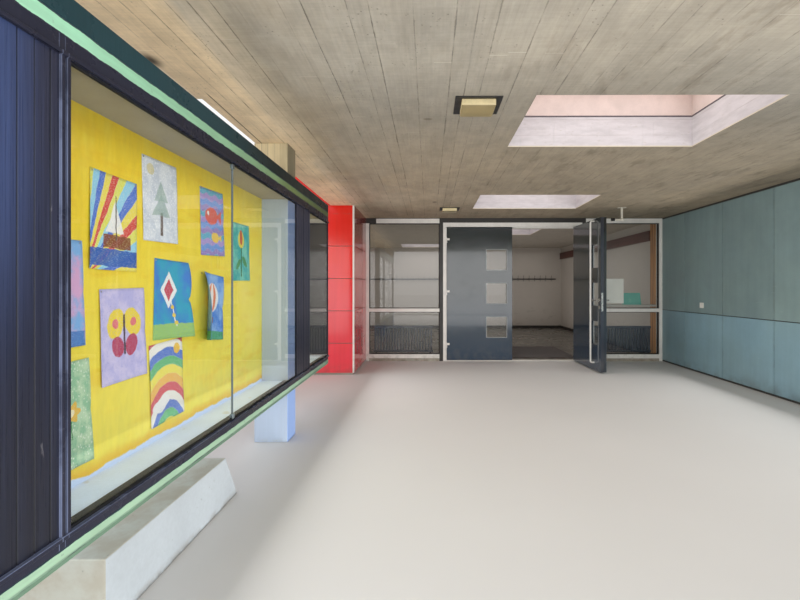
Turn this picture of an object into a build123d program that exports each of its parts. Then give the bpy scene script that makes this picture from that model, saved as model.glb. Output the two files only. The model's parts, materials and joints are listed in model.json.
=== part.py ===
"""Covered entrance building of a school.

A concrete roof slab with roof lights shelters a forecourt. A screen of steel windows and a
double door closes the hall behind it. A red clad wing and a glazed display case stand at the
left, a wall of grey-blue panels at the right. Millimetres, +Z up, the ground is Z = 0.
X runs to the right and Y into the hall. Distances "from left" and "from front" are taken from
the roof's left and front edges.
"""
from build123d import *
import os

os.makedirs("parts", exist_ok=True)

# Roof slab
ROOF_WIDTH = 6984
ROOF_LENGTH = 13870
SOFFIT_HEIGHT = 2500
SLAB_THICKNESS = 260
NOTCH_WIDTH = 1160
NOTCH_FROM_FRONT = 2450
PARAPET_HEIGHT = 260
PARAPET_THICKNESS = 150
COVERING_THICKNESS = 30

# Roof lights
ROOFLIGHT_WIDTH = 1580
ROOFLIGHT_LENGTH = 1050
ROOFLIGHT_FROM_DOOR = (0, 0, 95, -1465)
ROOFLIGHT_FROM_FRONT = (2926, 6006, 9535, 12835)
CURB_HEIGHT = 200
CURB_THICKNESS = 70
DOME_RISE = 170
DOME_SKIN = 8
DOME_RIM = 30

# Soffit lamps
LAMP_FROM_LEFT = 2928
LAMP_FROM_FRONT = (2555, 6539)
LAMP_WIDTH = 300
LAMP_LENGTH = 290
LAMP_COVER_WIDTH = 245
LAMP_PLATE = 6
LAMP_DROP = 26
LAMP_NEAR_DROP = 16
LAMP_NOSE = 50
LAMP_LIP = 16

# Walls and cladding
WALL_THICKNESS = 260
WALL_START = 274
PANEL_THICKNESS = 20
PANEL_PITCH = 931
PANEL_JOINT = 10
PANEL_FOOT_GAP = 30
PANEL_TOP_GAP = 30
PANEL_SPLIT_HEIGHT = 900
SWITCH_SIZE = 80
SWITCH_DEPTH = 12
SWITCH_CORNER = 8
SWITCH_HEIGHT = 1022
SWITCH_FROM_SCREEN = 1143

# Red wing
WING_FRONT = 6230
WING_RIGHT = 1510
WING_WALL_THICKNESS = 200
RED_THICKNESS = 25
RED_FOOT = 30
RED_JOINTS = (470, 948, 1426, 1904)
RED_GAP = 8
RED_PANEL_WIDTH = 755
CORNER_TRIM = 25

# Entrance screen
SCREEN_FROM_FRONT = 7470
FRAME_DEPTH = 115
FRAME_WIDTH = 56
DOOR_CENTRE_FROM_LEFT = 4075
DOORWAY_WIDTH = 2310
DOOR_POST_WIDTH = 60
DARK_POST_WIDTH = 64
DOOR_HEAD_DROP = 80
DOOR_HEAD_HEIGHT = 74
HEAD_STRIP = 10
TOP_RAIL_HEIGHT = 80
WINDOW_SILL = 50
BOTTOM_RAIL_HEIGHT = 70
TRANSOM_BOTTOM = 860
TRANSOM_HEIGHT = 60
HEAD_BLOCK_WIDTH = 180
GLASS_THICKNESS = 8
STOP_WIDTH = 15
STOP_DEPTH = 20
THRESHOLD_HEIGHT = 15

# Door leaves
LEAF_FOOT_GAP = 7
LEAF_HEAD_GAP = 8
LEAF_THICKNESS = 90
LEAF_FACING = 34
FACING_GROOVE = 4
HINGE_GAP = 6
MEETING_GAP = 16
OPEN_ANGLE = 92
SQUARE_SIZE = 360
SQUARE_FROM_FREE_EDGE = 93
SQUARE_BOTTOMS = (413, 1003, 1590)
LOW_HINGE = 280
MIDDLE_HINGE = 1200
TOP_HINGE_DROP = 228
KNUCKLE_RADIUS = 8
KNUCKLE_LENGTH = 45
HINGE_PLATE_WIDTH = 50
HINGE_PLATE_HEIGHT = 36
HINGE_PLATE = 4
HINGE_PLAY = 0.5
BAR_DIAMETER = 26
BAR_FROM_HINGE = 905
BAR_STANDOFF = 58
BAR_BOTTOM = 135
BAR_HEAD_GAP = 8
LEVER_HEIGHT = 1095
LEVER_FROM_EDGE = 42
LEVER_REACH = 125
LEVER_STANDOFF = 50
LEVER_DIAMETER = 20
SPINDLE_PLAY = 0.5
ROSE_DIAMETER = 54
ROSE_THICKNESS = 8
ROSE_SPACING = 105
LOCK_PLATE_ABOVE = 115
LOCK_PLATE_BELOW = 165
LOCK_PLATE_WIDTH = 26
LOCK_PLATE = 3

# Door stop under the soffit
STOP_PIPE_DIAMETER = 34
STOP_PIPE_DROP = 200
STOP_PIPE_FROM_SCREEN = 1030
STOP_PIPE_FROM_HINGE = 310
STOP_PLATE_LENGTH = 120
STOP_PLATE_WIDTH = 60
STOP_PLATE = 5
STOP_SOCKET_DIAMETER = 46
STOP_SOCKET_LENGTH = 50
BUFFER_DIAMETER = 42
BUFFER_LENGTH = 50
BUFFER_FROM_HINGE = 152

# Columns and the display case
COLUMN_WIDTH = 280
COLUMN_DEPTH = 220
COLUMN_FROM_LEFT = 1150
COLUMN_STARTS = (220, 3340)
CASE_FRONT = 1450
CASE_DEPTH = 260
CASE_END = 4775
CASE_BOTTOM = 430
CASE_LOW_STRIP = 38
CASE_LOW_RAIL = 45
CASE_TOP_RAIL = 68
CASE_HIGH_STRIP = 55
CASE_FASCIA = 84
CASE_UNDER_SOFFIT = 262
CASE_BOARD = 20
CASE_BOARDED_LENGTH = 531
CASE_POST_WIDTH = 55
CASE_RIB = 12
CASE_RIB_WIDTH = 15
CASE_POST_RIB = 8
CASE_SOLID_FROM_FRONT = 3527
CASE_SOLID_LENGTH = 448
CASE_GLASS_JOINT = 2245
CASE_GLASS_GAP = 4
CASE_GLASS_THICKNESS = 6
SETTING_GAP = 1

# Concrete block under the case
BLOCK_RIGHT = 1400
BLOCK_WIDTH = 450
BLOCK_START = 1250
BLOCK_TOP_LENGTH = 1004
BLOCK_FOOT_LENGTH = 1168
BLOCK_HEIGHT = 280

# Hall
FLOOR_THICKNESS = 20
COAT_RAIL_HEIGHT = 1535
COAT_RAIL_SECTION = 30
HOOK_PITCH = 170
HOOK_WIDTH = 12
HOOK_ARM = 9
HOOK_REACH = 55
HOOK_RISE = 95
HOOK_LOW_REACH = 40
HOOK_DROP = 72
BEAM_UNDER_SOFFIT = 166
BEAM_HEIGHT = 188
BEAM_THICKNESS = 40
LINING_LENGTH = 330
LINING_THICKNESS = 18
MAT_WIDTH = 2400
MAT_LENGTH = 1500
MAT_THICKNESS = 10
MAT_FROM_SCREEN = 240
RADIATOR_BOTTOM = 130
RADIATOR_TOP = 600
RADIATOR_PITCH = 50
RADIATOR_TUBE = 34
RADIATOR_FROM_SCREEN = 200
RADIATOR_HEADER = 40
SHELF_TOP = 980
SHELF_THICKNESS = 30
SHELF_DEPTH = 260

# Cutters run past what they cut
CUT_MARGIN = 10

# Places that follow from the sizes
LEFT = -ROOF_WIDTH / 2
RIGHT = ROOF_WIDTH / 2
FRONT = -ROOF_LENGTH / 2
BACK = ROOF_LENGTH / 2
SLAB_TOP = SOFFIT_HEIGHT + SLAB_THICKNESS
ROOF_TOP = SLAB_TOP + PARAPET_HEIGHT
WING_Y = FRONT + WING_FRONT
WING_X = LEFT + WING_RIGHT
SCREEN_Y = FRONT + SCREEN_FROM_FRONT
SCREEN_BACK = SCREEN_Y + FRAME_DEPTH
NOTCH_X = LEFT + NOTCH_WIDTH
NOTCH_Y = FRONT + NOTCH_FROM_FRONT
DOOR_X = LEFT + DOOR_CENTRE_FROM_LEFT
WALL_OUTER = RIGHT - PANEL_THICKNESS
WALL_INNER = WALL_OUTER - WALL_THICKNESS
WALL_FACE = WALL_INNER - PANEL_THICKNESS
BACK_OUTER = BACK - PANEL_THICKNESS
BACK_INNER = BACK_OUTER - WALL_THICKNESS
LEFT_OUTER = LEFT + PANEL_THICKNESS
LEFT_INNER = LEFT_OUTER + WALL_THICKNESS
WALL_FRONT = FRONT + WALL_START
CASE_X = LEFT + CASE_FRONT
CASE_BACK_X = CASE_X - CASE_DEPTH
CASE_FRAME_DEPTH = CASE_FRONT - COLUMN_FROM_LEFT - COLUMN_WIDTH - SETTING_GAP / 2
CASE_START_Y = FRONT + COLUMN_STARTS[0] + COLUMN_DEPTH
CASE_END_Y = FRONT + CASE_END
DOOR_HEAD_TOP = SOFFIT_HEIGHT - DOOR_HEAD_DROP
DOOR_HEAD_BOTTOM = DOOR_HEAD_TOP - DOOR_HEAD_HEIGHT
TOP_RAIL_TOP = SOFFIT_HEIGHT - HEAD_STRIP
TOP_RAIL_BOTTOM = TOP_RAIL_TOP - TOP_RAIL_HEIGHT
BOTTOM_RAIL_TOP = WINDOW_SILL + BOTTOM_RAIL_HEIGHT
TRANSOM_TOP = TRANSOM_BOTTOM + TRANSOM_HEIGHT
LEAF_BOTTOM = THRESHOLD_HEIGHT + LEAF_FOOT_GAP
LEAF_TOP = DOOR_HEAD_BOTTOM - LEAF_HEAD_GAP
HINGE_HEIGHTS = (LOW_HINGE, MIDDLE_HINGE, LEAF_TOP - TOP_HINGE_DROP)
BAR_TOP = DOOR_HEAD_BOTTOM - STOP_WIDTH - BAR_HEAD_GAP - BAR_DIAMETER / 2
CASE_STRIP_TOP = CASE_BOTTOM + CASE_LOW_STRIP
CASE_RAIL_TOP = CASE_STRIP_TOP + CASE_LOW_RAIL
CASE_TOP = SOFFIT_HEIGHT - CASE_UNDER_SOFFIT
CASE_GREEN_TOP = CASE_TOP - CASE_FASCIA
CASE_TOP_RAIL_TOP = CASE_GREEN_TOP - CASE_HIGH_STRIP
CASE_GLASS_TOP = CASE_TOP_RAIL_TOP - CASE_TOP_RAIL
BEAM_TOP = SOFFIT_HEIGHT - BEAM_UNDER_SOFFIT
HINGE_X = DOORWAY_WIDTH / 2 - HINGE_GAP / 2
LEAF_WIDTH = HINGE_X - HINGE_GAP / 2 - MEETING_GAP / 2
HINGE_Y = SCREEN_Y - KNUCKLE_RADIUS


def block(x0, x1, y0, y1, z0, z1):
    """A box between two corners."""
    return Pos((x0 + x1) / 2, (y0 + y1) / 2, (z0 + z1) / 2) * Box(x1 - x0, y1 - y0, z1 - z0)


def group(solids):
    """Separate solids that share one node."""
    return Compound(children=list(solids))


def rod(start, end, radius):
    """A round rod from one point to another."""
    axis = Vector(*end) - Vector(*start)
    plane = Plane(origin=start, z_dir=axis)
    return extrude(plane * Circle(radius), amount=axis.length)


def rooflight_centres():
    """The middle of each roof light: two in line with the door, two over the hall."""
    for beside, behind in zip(ROOFLIGHT_FROM_DOOR, ROOFLIGHT_FROM_FRONT):
        yield DOOR_X + beside, FRONT + behind


def slab_outline(inset=0.0):
    """The roof's plan with its notch beside the wing, moved in from every edge by inset."""
    wing_line = WING_Y + RED_THICKNESS
    points = [
        (LEFT + inset, FRONT + inset),
        (RIGHT - inset, FRONT + inset),
        (RIGHT - inset, BACK - inset),
        (LEFT + inset, BACK - inset),
        (LEFT + inset, wing_line + inset),
        (NOTCH_X + inset, wing_line + inset),
        (NOTCH_X + inset, NOTCH_Y - inset),
        (LEFT + inset, NOTCH_Y - inset),
    ]
    return make_face(Polyline(*points, close=True))


def roof_slab():
    slab = Pos(0, 0, SOFFIT_HEIGHT) * extrude(slab_outline(), amount=SLAB_THICKNESS)
    for x, y in rooflight_centres():
        shaft = Box(ROOFLIGHT_WIDTH, ROOFLIGHT_LENGTH, SLAB_THICKNESS + 2 * CUT_MARGIN)
        slab -= Pos(x, y, SOFFIT_HEIGHT + SLAB_THICKNESS / 2) * shaft
    return slab


def roof_parapet():
    ring = extrude(slab_outline() - slab_outline(PARAPET_THICKNESS), amount=PARAPET_HEIGHT)
    return Pos(0, 0, SLAB_TOP) * ring


def roof_covering():
    sheet = extrude(slab_outline(PARAPET_THICKNESS), amount=COVERING_THICKNESS)
    sheet = Pos(0, 0, SLAB_TOP) * sheet
    hole = Box(ROOFLIGHT_WIDTH + 2 * CURB_THICKNESS, ROOFLIGHT_LENGTH + 2 * CURB_THICKNESS,
               COVERING_THICKNESS + 2 * CUT_MARGIN)
    for x, y in rooflight_centres():
        sheet -= Pos(x, y, SLAB_TOP + COVERING_THICKNESS / 2) * hole
    return sheet


def rooflight_curb(x, y):
    outer = Box(ROOFLIGHT_WIDTH + 2 * CURB_THICKNESS, ROOFLIGHT_LENGTH + 2 * CURB_THICKNESS,
                CURB_HEIGHT)
    inner = Box(ROOFLIGHT_WIDTH, ROOFLIGHT_LENGTH, CURB_HEIGHT + 2 * CUT_MARGIN)
    return Pos(x, y, SLAB_TOP + CURB_HEIGHT / 2) * (outer - inner)


def arch_profile(width, rise, skirt):
    """A segment arch on a short upright skirt, drawn across a width."""
    half = width / 2
    bottom = Polyline((-half, skirt), (-half, 0), (half, 0), (half, skirt))
    arc = ThreePointArc((half, skirt), (0, skirt + rise), (-half, skirt))
    return make_face([bottom, arc])


def cushion(width, length, rise, skirt):
    """A vault over a rectangle: two crossing arched prisms that share their crown."""
    across = extrude(Plane.XZ * arch_profile(width, rise, skirt), amount=length / 2, both=True)
    along = extrude(Plane.YZ * arch_profile(length, rise, skirt), amount=width / 2, both=True)
    return across & along


def rooflight_dome(x, y):
    width = ROOFLIGHT_WIDTH + 2 * CURB_THICKNESS
    length = ROOFLIGHT_LENGTH + 2 * CURB_THICKNESS
    shell = cushion(width, length, DOME_RISE, DOME_RIM)
    hollow = cushion(width - 2 * CURB_THICKNESS, length - 2 * CURB_THICKNESS,
                     DOME_RISE - DOME_SKIN, DOME_RIM - DOME_SKIN)
    return Pos(x, y, SLAB_TOP + CURB_HEIGHT) * (shell - hollow)


def lamp_housings():
    x = LEFT + LAMP_FROM_LEFT
    for start in LAMP_FROM_FRONT:
        y = FRONT + start
        yield block(x - LAMP_WIDTH / 2, x + LAMP_WIDTH / 2, y - LAMP_LENGTH / 2,
                    y + LAMP_LENGTH / 2, SOFFIT_HEIGHT - LAMP_PLATE, SOFFIT_HEIGHT)


def lamp_covers():
    """Covers that hang lower at the far end than at the near one."""
    half = LAMP_LENGTH / 2
    profile = Polyline((-half, 0), (LAMP_NOSE - half, -LAMP_NEAR_DROP),
                       (half - LAMP_NOSE, -LAMP_DROP), (half, LAMP_LIP - LAMP_DROP), (half, 0),
                       close=True)
    cover = extrude(Plane.YZ * make_face(profile), amount=LAMP_COVER_WIDTH / 2, both=True)
    for start in LAMP_FROM_FRONT:
        yield Pos(LEFT + LAMP_FROM_LEFT, FRONT + start, SOFFIT_HEIGHT - LAMP_PLATE) * cover


def wall_panels(length, start, low, high):
    """Spans of the panels along a wall: (from, to, bottom, top), full panels first."""
    place = start
    end = start + length
    while end - place > PANEL_JOINT:
        stop = min(place + PANEL_PITCH, end)
        far = stop - PANEL_JOINT if stop < end else stop
        yield place, far, low, high
        place = stop


def panel_rows():
    """Bottom and top of the lower and the upper row of panels."""
    middle = PANEL_SPLIT_HEIGHT
    lower = (PANEL_FOOT_GAP, middle - PANEL_JOINT / 2)
    upper = (middle + PANEL_JOINT / 2, SOFFIT_HEIGHT - PANEL_TOP_GAP)
    return lower, upper


def forecourt_panels(row):
    low, high = row
    for y0, y1, z0, z1 in wall_panels(SCREEN_BACK - WALL_FRONT, WALL_FRONT, low, high):
        yield block(WALL_FACE, WALL_INNER, y0, y1, z0, z1)


def outer_panels_right(row):
    low, high = row
    for y0, y1, z0, z1 in wall_panels(BACK_OUTER - WALL_FRONT, WALL_FRONT, low, high):
        yield block(WALL_OUTER, RIGHT, y0, y1, z0, z1)


def outer_panels_left(row):
    low, high = row
    start = WING_Y + RED_THICKNESS
    for y0, y1, z0, z1 in wall_panels(BACK_OUTER - start, start, low, high):
        yield block(LEFT, LEFT_OUTER, y0, y1, z0, z1)


def outer_panels_back(row):
    low, high = row
    for x0, x1, z0, z1 in wall_panels(ROOF_WIDTH, LEFT, low, high):
        yield block(x0, x1, BACK_OUTER, BACK, z0, z1)


def outer_panels():
    """The same two rows round the three outer sides."""
    for row in panel_rows():
        yield from outer_panels_right(row)
        yield from outer_panels_left(row)
        yield from outer_panels_back(row)


def red_rows(top):
    """Bottom and top of each red panel from the foot up to the given height."""
    edges = [RED_FOOT, *RED_JOINTS, top]
    for low, high in zip(edges, edges[1:]):
        yield low, high - RED_GAP if high != top else high


def red_front_panels():
    """Two widths of panel beside each other, the left one running up past the roof's edge."""
    right = WING_X - CORNER_TRIM
    split = right - RED_PANEL_WIDTH
    y0, y1 = WING_Y, WING_Y + RED_THICKNESS
    for low, high in red_rows(SOFFIT_HEIGHT):
        yield block(split, right, y0, y1, low, high)
        yield block(LEFT, split - RED_GAP, y0, y1, low, high)
    yield block(LEFT, NOTCH_X, y0, y1, SOFFIT_HEIGHT + RED_GAP, ROOF_TOP)


def red_side_panels():
    y0 = WING_Y + CORNER_TRIM
    for low, high in red_rows(SOFFIT_HEIGHT):
        yield block(WING_X - RED_THICKNESS, WING_X, y0, SCREEN_Y, low, high)


def corner_trim():
    return block(WING_X - CORNER_TRIM, WING_X, WING_Y, WING_Y + CORNER_TRIM, RED_FOOT,
                 SOFFIT_HEIGHT)


def wing_front_wall():
    return block(LEFT_OUTER, WING_X - RED_THICKNESS, WING_Y + RED_THICKNESS,
                 WING_Y + RED_THICKNESS + WING_WALL_THICKNESS, 0, SOFFIT_HEIGHT)


def wing_side_wall():
    right = WING_X - RED_THICKNESS
    return block(right - WING_WALL_THICKNESS, right,
                 WING_Y + RED_THICKNESS + WING_WALL_THICKNESS, SCREEN_BACK, 0, SOFFIT_HEIGHT)


def left_wall():
    return block(LEFT_OUTER, LEFT_INNER, WING_Y + RED_THICKNESS + WING_WALL_THICKNESS,
                 BACK_INNER, 0, SOFFIT_HEIGHT)


def back_wall():
    return block(LEFT_OUTER, WALL_OUTER, BACK_INNER, BACK_OUTER, 0, SOFFIT_HEIGHT)


def right_wall():
    return block(WALL_INNER, WALL_OUTER, WALL_FRONT, BACK_INNER, 0, SOFFIT_HEIGHT)


def switch_box():
    y = SCREEN_Y - SWITCH_FROM_SCREEN
    box = block(WALL_FACE - SWITCH_DEPTH, WALL_FACE, y - SWITCH_SIZE / 2, y + SWITCH_SIZE / 2,
                SWITCH_HEIGHT - SWITCH_SIZE / 2, SWITCH_HEIGHT + SWITCH_SIZE / 2)
    return fillet(box.edges().filter_by(Axis.X), SWITCH_CORNER)


def left_window_span():
    """From the red wing to the dark post beside the door."""
    return WING_X, DOOR_X - DOORWAY_WIDTH / 2 - DOOR_POST_WIDTH - DARK_POST_WIDTH


def right_window_span():
    return DOOR_X + DOORWAY_WIDTH / 2 + DOOR_POST_WIDTH + DARK_POST_WIDTH, WALL_FACE


def window_frame(span, post_side, head_start):
    """One post against the wall, and the rails between it and the dark post."""
    x0, x1 = span
    post = (x0, x0 + FRAME_WIDTH) if post_side == "left" else (x1 - FRAME_WIDTH, x1)
    frame = block(*post, SCREEN_Y, SCREEN_BACK, 0, TOP_RAIL_BOTTOM)
    frame += block(head_start, x1, SCREEN_Y, SCREEN_BACK, TOP_RAIL_BOTTOM, TOP_RAIL_TOP)
    frame += block(x0, x1, SCREEN_Y, SCREEN_BACK, TRANSOM_BOTTOM, TRANSOM_TOP)
    frame += block(x0, x1, SCREEN_Y, SCREEN_BACK, WINDOW_SILL, BOTTOM_RAIL_TOP)
    return frame


def window_glass(span, post_side):
    x0, x1 = span
    if post_side == "left":
        x0 += FRAME_WIDTH
    else:
        x1 -= FRAME_WIDTH
    y0 = SCREEN_Y + (FRAME_DEPTH - GLASS_THICKNESS) / 2
    y1 = y0 + GLASS_THICKNESS
    yield block(x0, x1, y0, y1, BOTTOM_RAIL_TOP, TRANSOM_BOTTOM)
    yield block(x0, x1, y0, y1, TRANSOM_TOP, TOP_RAIL_BOTTOM)


def dark_frame():
    """Dark posts beside the door, strips that close the screen against the soffit, and a block."""
    x0 = left_window_span()[0]
    x1 = right_window_span()[1]
    door0 = left_window_span()[1]
    door1 = right_window_span()[0]
    head = block(x0, x1, SCREEN_Y, SCREEN_BACK, TOP_RAIL_TOP, SOFFIT_HEIGHT)
    head += block(door0, door1, SCREEN_Y, SCREEN_BACK, DOOR_HEAD_TOP, TOP_RAIL_TOP)
    head += block(x0, x0 + HEAD_BLOCK_WIDTH, SCREEN_Y, SCREEN_BACK, TOP_RAIL_BOTTOM, TOP_RAIL_TOP)
    for x in (door0, door1 - DARK_POST_WIDTH):
        head += block(x, x + DARK_POST_WIDTH, SCREEN_Y, SCREEN_BACK, 0, DOOR_HEAD_TOP)
    return head


def window_kerbs():
    for x0, x1 in ((WING_X + FRAME_WIDTH, left_window_span()[1]),
                   (right_window_span()[0], WALL_FACE - FRAME_WIDTH)):
        yield block(x0, x1, SCREEN_Y, SCREEN_BACK, 0, WINDOW_SILL)


def door_frame():
    """Two posts and a head with a stop all round behind the leaves."""
    half = DOORWAY_WIDTH / 2
    outer = half + DOOR_POST_WIDTH
    frame = block(DOOR_X - outer, DOOR_X + outer, SCREEN_Y, SCREEN_BACK, 0, DOOR_HEAD_TOP)
    frame -= block(DOOR_X - half, DOOR_X + half, SCREEN_Y, SCREEN_BACK - STOP_DEPTH, 0,
                   DOOR_HEAD_BOTTOM)
    frame -= block(DOOR_X - half + STOP_WIDTH, DOOR_X + half - STOP_WIDTH, SCREEN_Y, SCREEN_BACK,
                   0, DOOR_HEAD_BOTTOM - STOP_WIDTH)
    return frame


def threshold():
    half = DOORWAY_WIDTH / 2
    sill = block(DOOR_X - half, DOOR_X + half, SCREEN_Y, SCREEN_BACK - STOP_DEPTH, 0,
                 THRESHOLD_HEIGHT)
    between_stops = half - STOP_WIDTH
    sill += block(DOOR_X - between_stops, DOOR_X + between_stops, SCREEN_Y, SCREEN_BACK, 0,
                  THRESHOLD_HEIGHT)
    return sill


def leaf():
    """A closed leaf whose hinge line is X = 0, Y = 0 and whose free edge is towards +X.

    A groove round its edges parts the outer facing from the core.
    """
    x0 = HINGE_GAP / 2
    x1 = x0 + LEAF_WIDTH
    back = KNUCKLE_RADIUS + LEAF_THICKNESS
    slab = block(x0, x1, KNUCKLE_RADIUS, back, LEAF_BOTTOM, LEAF_TOP)
    right = x1 - SQUARE_FROM_FREE_EDGE
    for z in SQUARE_BOTTOMS:
        slab -= block(right - SQUARE_SIZE, right, KNUCKLE_RADIUS - CUT_MARGIN, back + CUT_MARGIN,
                      z, z + SQUARE_SIZE)
    groove = KNUCKLE_RADIUS + LEAF_FACING
    ring = block(x0 - CUT_MARGIN, x1 + CUT_MARGIN, groove, groove + FACING_GROOVE,
                 LEAF_BOTTOM - CUT_MARGIN, LEAF_TOP + CUT_MARGIN)
    ring -= block(x0 + FACING_GROOVE, x1 - FACING_GROOVE, groove - CUT_MARGIN,
                  groove + FACING_GROOVE + CUT_MARGIN, LEAF_BOTTOM + FACING_GROOVE,
                  LEAF_TOP - FACING_GROOVE)
    return slab - ring


def leaf_glass():
    right = HINGE_GAP / 2 + LEAF_WIDTH - SQUARE_FROM_FREE_EDGE
    y0 = KNUCKLE_RADIUS + (LEAF_THICKNESS - GLASS_THICKNESS) / 2
    for z in SQUARE_BOTTOMS:
        yield block(right - SQUARE_SIZE, right, y0, y0 + GLASS_THICKNESS, z, z + SQUARE_SIZE)


def leaf_hinges():
    """Knuckle and plate on the leaf's outer face."""
    for z in HINGE_HEIGHTS:
        knuckle = rod((0, 0, z + HINGE_PLAY), (0, 0, z + KNUCKLE_LENGTH), KNUCKLE_RADIUS)
        plate = block(0, HINGE_PLATE_WIDTH, KNUCKLE_RADIUS - HINGE_PLATE, KNUCKLE_RADIUS,
                      z + HINGE_PLAY, z + HINGE_PLATE_HEIGHT)
        yield knuckle + plate


def frame_hinges():
    """Knuckle and plate on the door post."""
    for z in HINGE_HEIGHTS:
        knuckle = rod((0, 0, z - KNUCKLE_LENGTH), (0, 0, z), KNUCKLE_RADIUS)
        plate = block(-HINGE_PLATE_WIDTH / 2, 0, KNUCKLE_RADIUS - HINGE_PLATE, KNUCKLE_RADIUS,
                      z - HINGE_PLATE_HEIGHT, z)
        yield knuckle + plate


def pull_bar():
    """A full-height bar on the inner face, bent back to the leaf at both ends."""
    face = KNUCKLE_RADIUS + LEAF_THICKNESS
    x = HINGE_GAP / 2 + BAR_FROM_HINGE
    y = face + BAR_STANDOFF
    path = FilletPolyline((x, face, BAR_BOTTOM), (x, y, BAR_BOTTOM), (x, y, BAR_TOP),
                          (x, face, BAR_TOP), radius=BAR_DIAMETER)
    section = Plane(origin=(x, face, BAR_BOTTOM), z_dir=(0, 1, 0)) * Circle(BAR_DIAMETER / 2)
    return sweep(section, path=path)


def lever_axis_x():
    return HINGE_GAP / 2 + LEAF_WIDTH - LEVER_FROM_EDGE


def lever():
    """Spindle through the leaf with a grip at each face, pointing to the hinge."""
    x = lever_axis_x()
    inner = KNUCKLE_RADIUS + LEAF_THICKNESS + LEVER_STANDOFF
    outer = KNUCKLE_RADIUS - LEVER_STANDOFF
    radius = LEVER_DIAMETER / 2
    shape = rod((x, outer, LEVER_HEIGHT), (x, inner, LEVER_HEIGHT), radius)
    for y in (outer, inner):
        shape += Pos(x, y, LEVER_HEIGHT) * Sphere(radius)
        shape += rod((x, y, LEVER_HEIGHT), (x - LEVER_REACH, y, LEVER_HEIGHT), radius)
    return shape


def lever_hole():
    x = lever_axis_x()
    return rod((x, -ROOF_WIDTH, LEVER_HEIGHT), (x, ROOF_WIDTH, LEVER_HEIGHT),
               LEVER_DIAMETER / 2 + SPINDLE_PLAY)


def lock_furniture():
    """A rose at each face, a key rose below it and the plate on the core's free edge."""
    x = lever_axis_x()
    face = KNUCKLE_RADIUS + LEAF_THICKNESS
    for z in (LEVER_HEIGHT, LEVER_HEIGHT - ROSE_SPACING):
        for y0, y1 in ((face, face + ROSE_THICKNESS), (KNUCKLE_RADIUS - ROSE_THICKNESS,
                                                       KNUCKLE_RADIUS)):
            rose = rod((x, y0, z), (x, y1, z), ROSE_DIAMETER / 2)
            yield rose - lever_hole() if z == LEVER_HEIGHT else rose
    edge = HINGE_GAP / 2 + LEAF_WIDTH
    middle = (KNUCKLE_RADIUS + LEAF_FACING + FACING_GROOVE + face) / 2
    yield block(edge, edge + LOCK_PLATE, middle - LOCK_PLATE_WIDTH / 2,
                middle + LOCK_PLATE_WIDTH / 2, LEVER_HEIGHT - LOCK_PLATE_BELOW,
                LEVER_HEIGHT + LOCK_PLATE_ABOVE)


def hang_left(shape):
    return Pos(DOOR_X - HINGE_X, HINGE_Y, 0) * shape


def hang_right(shape, angle=0):
    """The same leaf mirrored to the right post and swung out by an angle."""
    return Pos(DOOR_X + HINGE_X, HINGE_Y, 0) * Rot(0, 0, angle) * mirror(shape, about=Plane.YZ)


def door_stop():
    """A pipe from a plate on the soffit, with a socket and an arm towards the open leaf."""
    x = DOOR_X + HINGE_X + STOP_PIPE_FROM_HINGE
    y = SCREEN_Y - STOP_PIPE_FROM_SCREEN
    low = SOFFIT_HEIGHT - STOP_PIPE_DROP + STOP_PIPE_DIAMETER / 2
    buffer_end = DOOR_X + HINGE_X + BUFFER_FROM_HINGE + BUFFER_LENGTH
    shape = rod((x, y, low - STOP_PIPE_DIAMETER / 2), (x, y, SOFFIT_HEIGHT), STOP_PIPE_DIAMETER / 2)
    shape += rod((buffer_end, y, low), (x, y, low), STOP_PIPE_DIAMETER / 2)
    shape += rod((x - STOP_SOCKET_LENGTH / 2, y, low), (x + STOP_SOCKET_LENGTH / 2, y, low),
                 STOP_SOCKET_DIAMETER / 2)
    shape += block(x - STOP_PLATE_LENGTH / 2, x + STOP_PLATE_LENGTH / 2, y - STOP_PLATE_WIDTH / 2,
                   y + STOP_PLATE_WIDTH / 2, SOFFIT_HEIGHT - STOP_PLATE, SOFFIT_HEIGHT)
    return shape


def stop_buffer():
    y = SCREEN_Y - STOP_PIPE_FROM_SCREEN
    z = SOFFIT_HEIGHT - STOP_PIPE_DROP + STOP_PIPE_DIAMETER / 2
    x = DOOR_X + HINGE_X + BUFFER_FROM_HINGE
    return rod((x, y, z), (x + BUFFER_LENGTH, y, z), BUFFER_DIAMETER / 2)


def column(start):
    x0 = LEFT + COLUMN_FROM_LEFT
    y0 = FRONT + start
    return block(x0, x0 + COLUMN_WIDTH, y0, y0 + COLUMN_DEPTH, 0, SOFFIT_HEIGHT)


def around_column(shape):
    """Cuts the room for the column that stands inside the case."""
    x0 = LEFT + COLUMN_FROM_LEFT
    y0 = FRONT + COLUMN_STARTS[1]
    gap = SETTING_GAP / 2
    return shape - block(x0 - gap, x0 + COLUMN_WIDTH + gap, y0 - gap, y0 + COLUMN_DEPTH + gap,
                         0, SOFFIT_HEIGHT)


def case_floor():
    return around_column(block(CASE_BACK_X + CASE_BOARD, CASE_X - CASE_FRAME_DEPTH, CASE_START_Y,
                               CASE_END_Y - CASE_BOARD, CASE_STRIP_TOP, CASE_RAIL_TOP))


def case_ceiling():
    return around_column(block(CASE_BACK_X + CASE_BOARD, CASE_X - CASE_FRAME_DEPTH, CASE_START_Y,
                               CASE_END_Y - CASE_BOARD, CASE_GLASS_TOP,
                               CASE_GLASS_TOP + CASE_BOARD))


def case_roof():
    return around_column(block(CASE_BACK_X, CASE_X - CASE_FRAME_DEPTH, CASE_START_Y, CASE_END_Y,
                               CASE_TOP - CASE_BOARD, CASE_TOP))


def case_back():
    return around_column(block(CASE_BACK_X, CASE_BACK_X + CASE_BOARD, CASE_START_Y, CASE_END_Y,
                               CASE_BOTTOM, CASE_TOP - CASE_BOARD))


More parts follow.
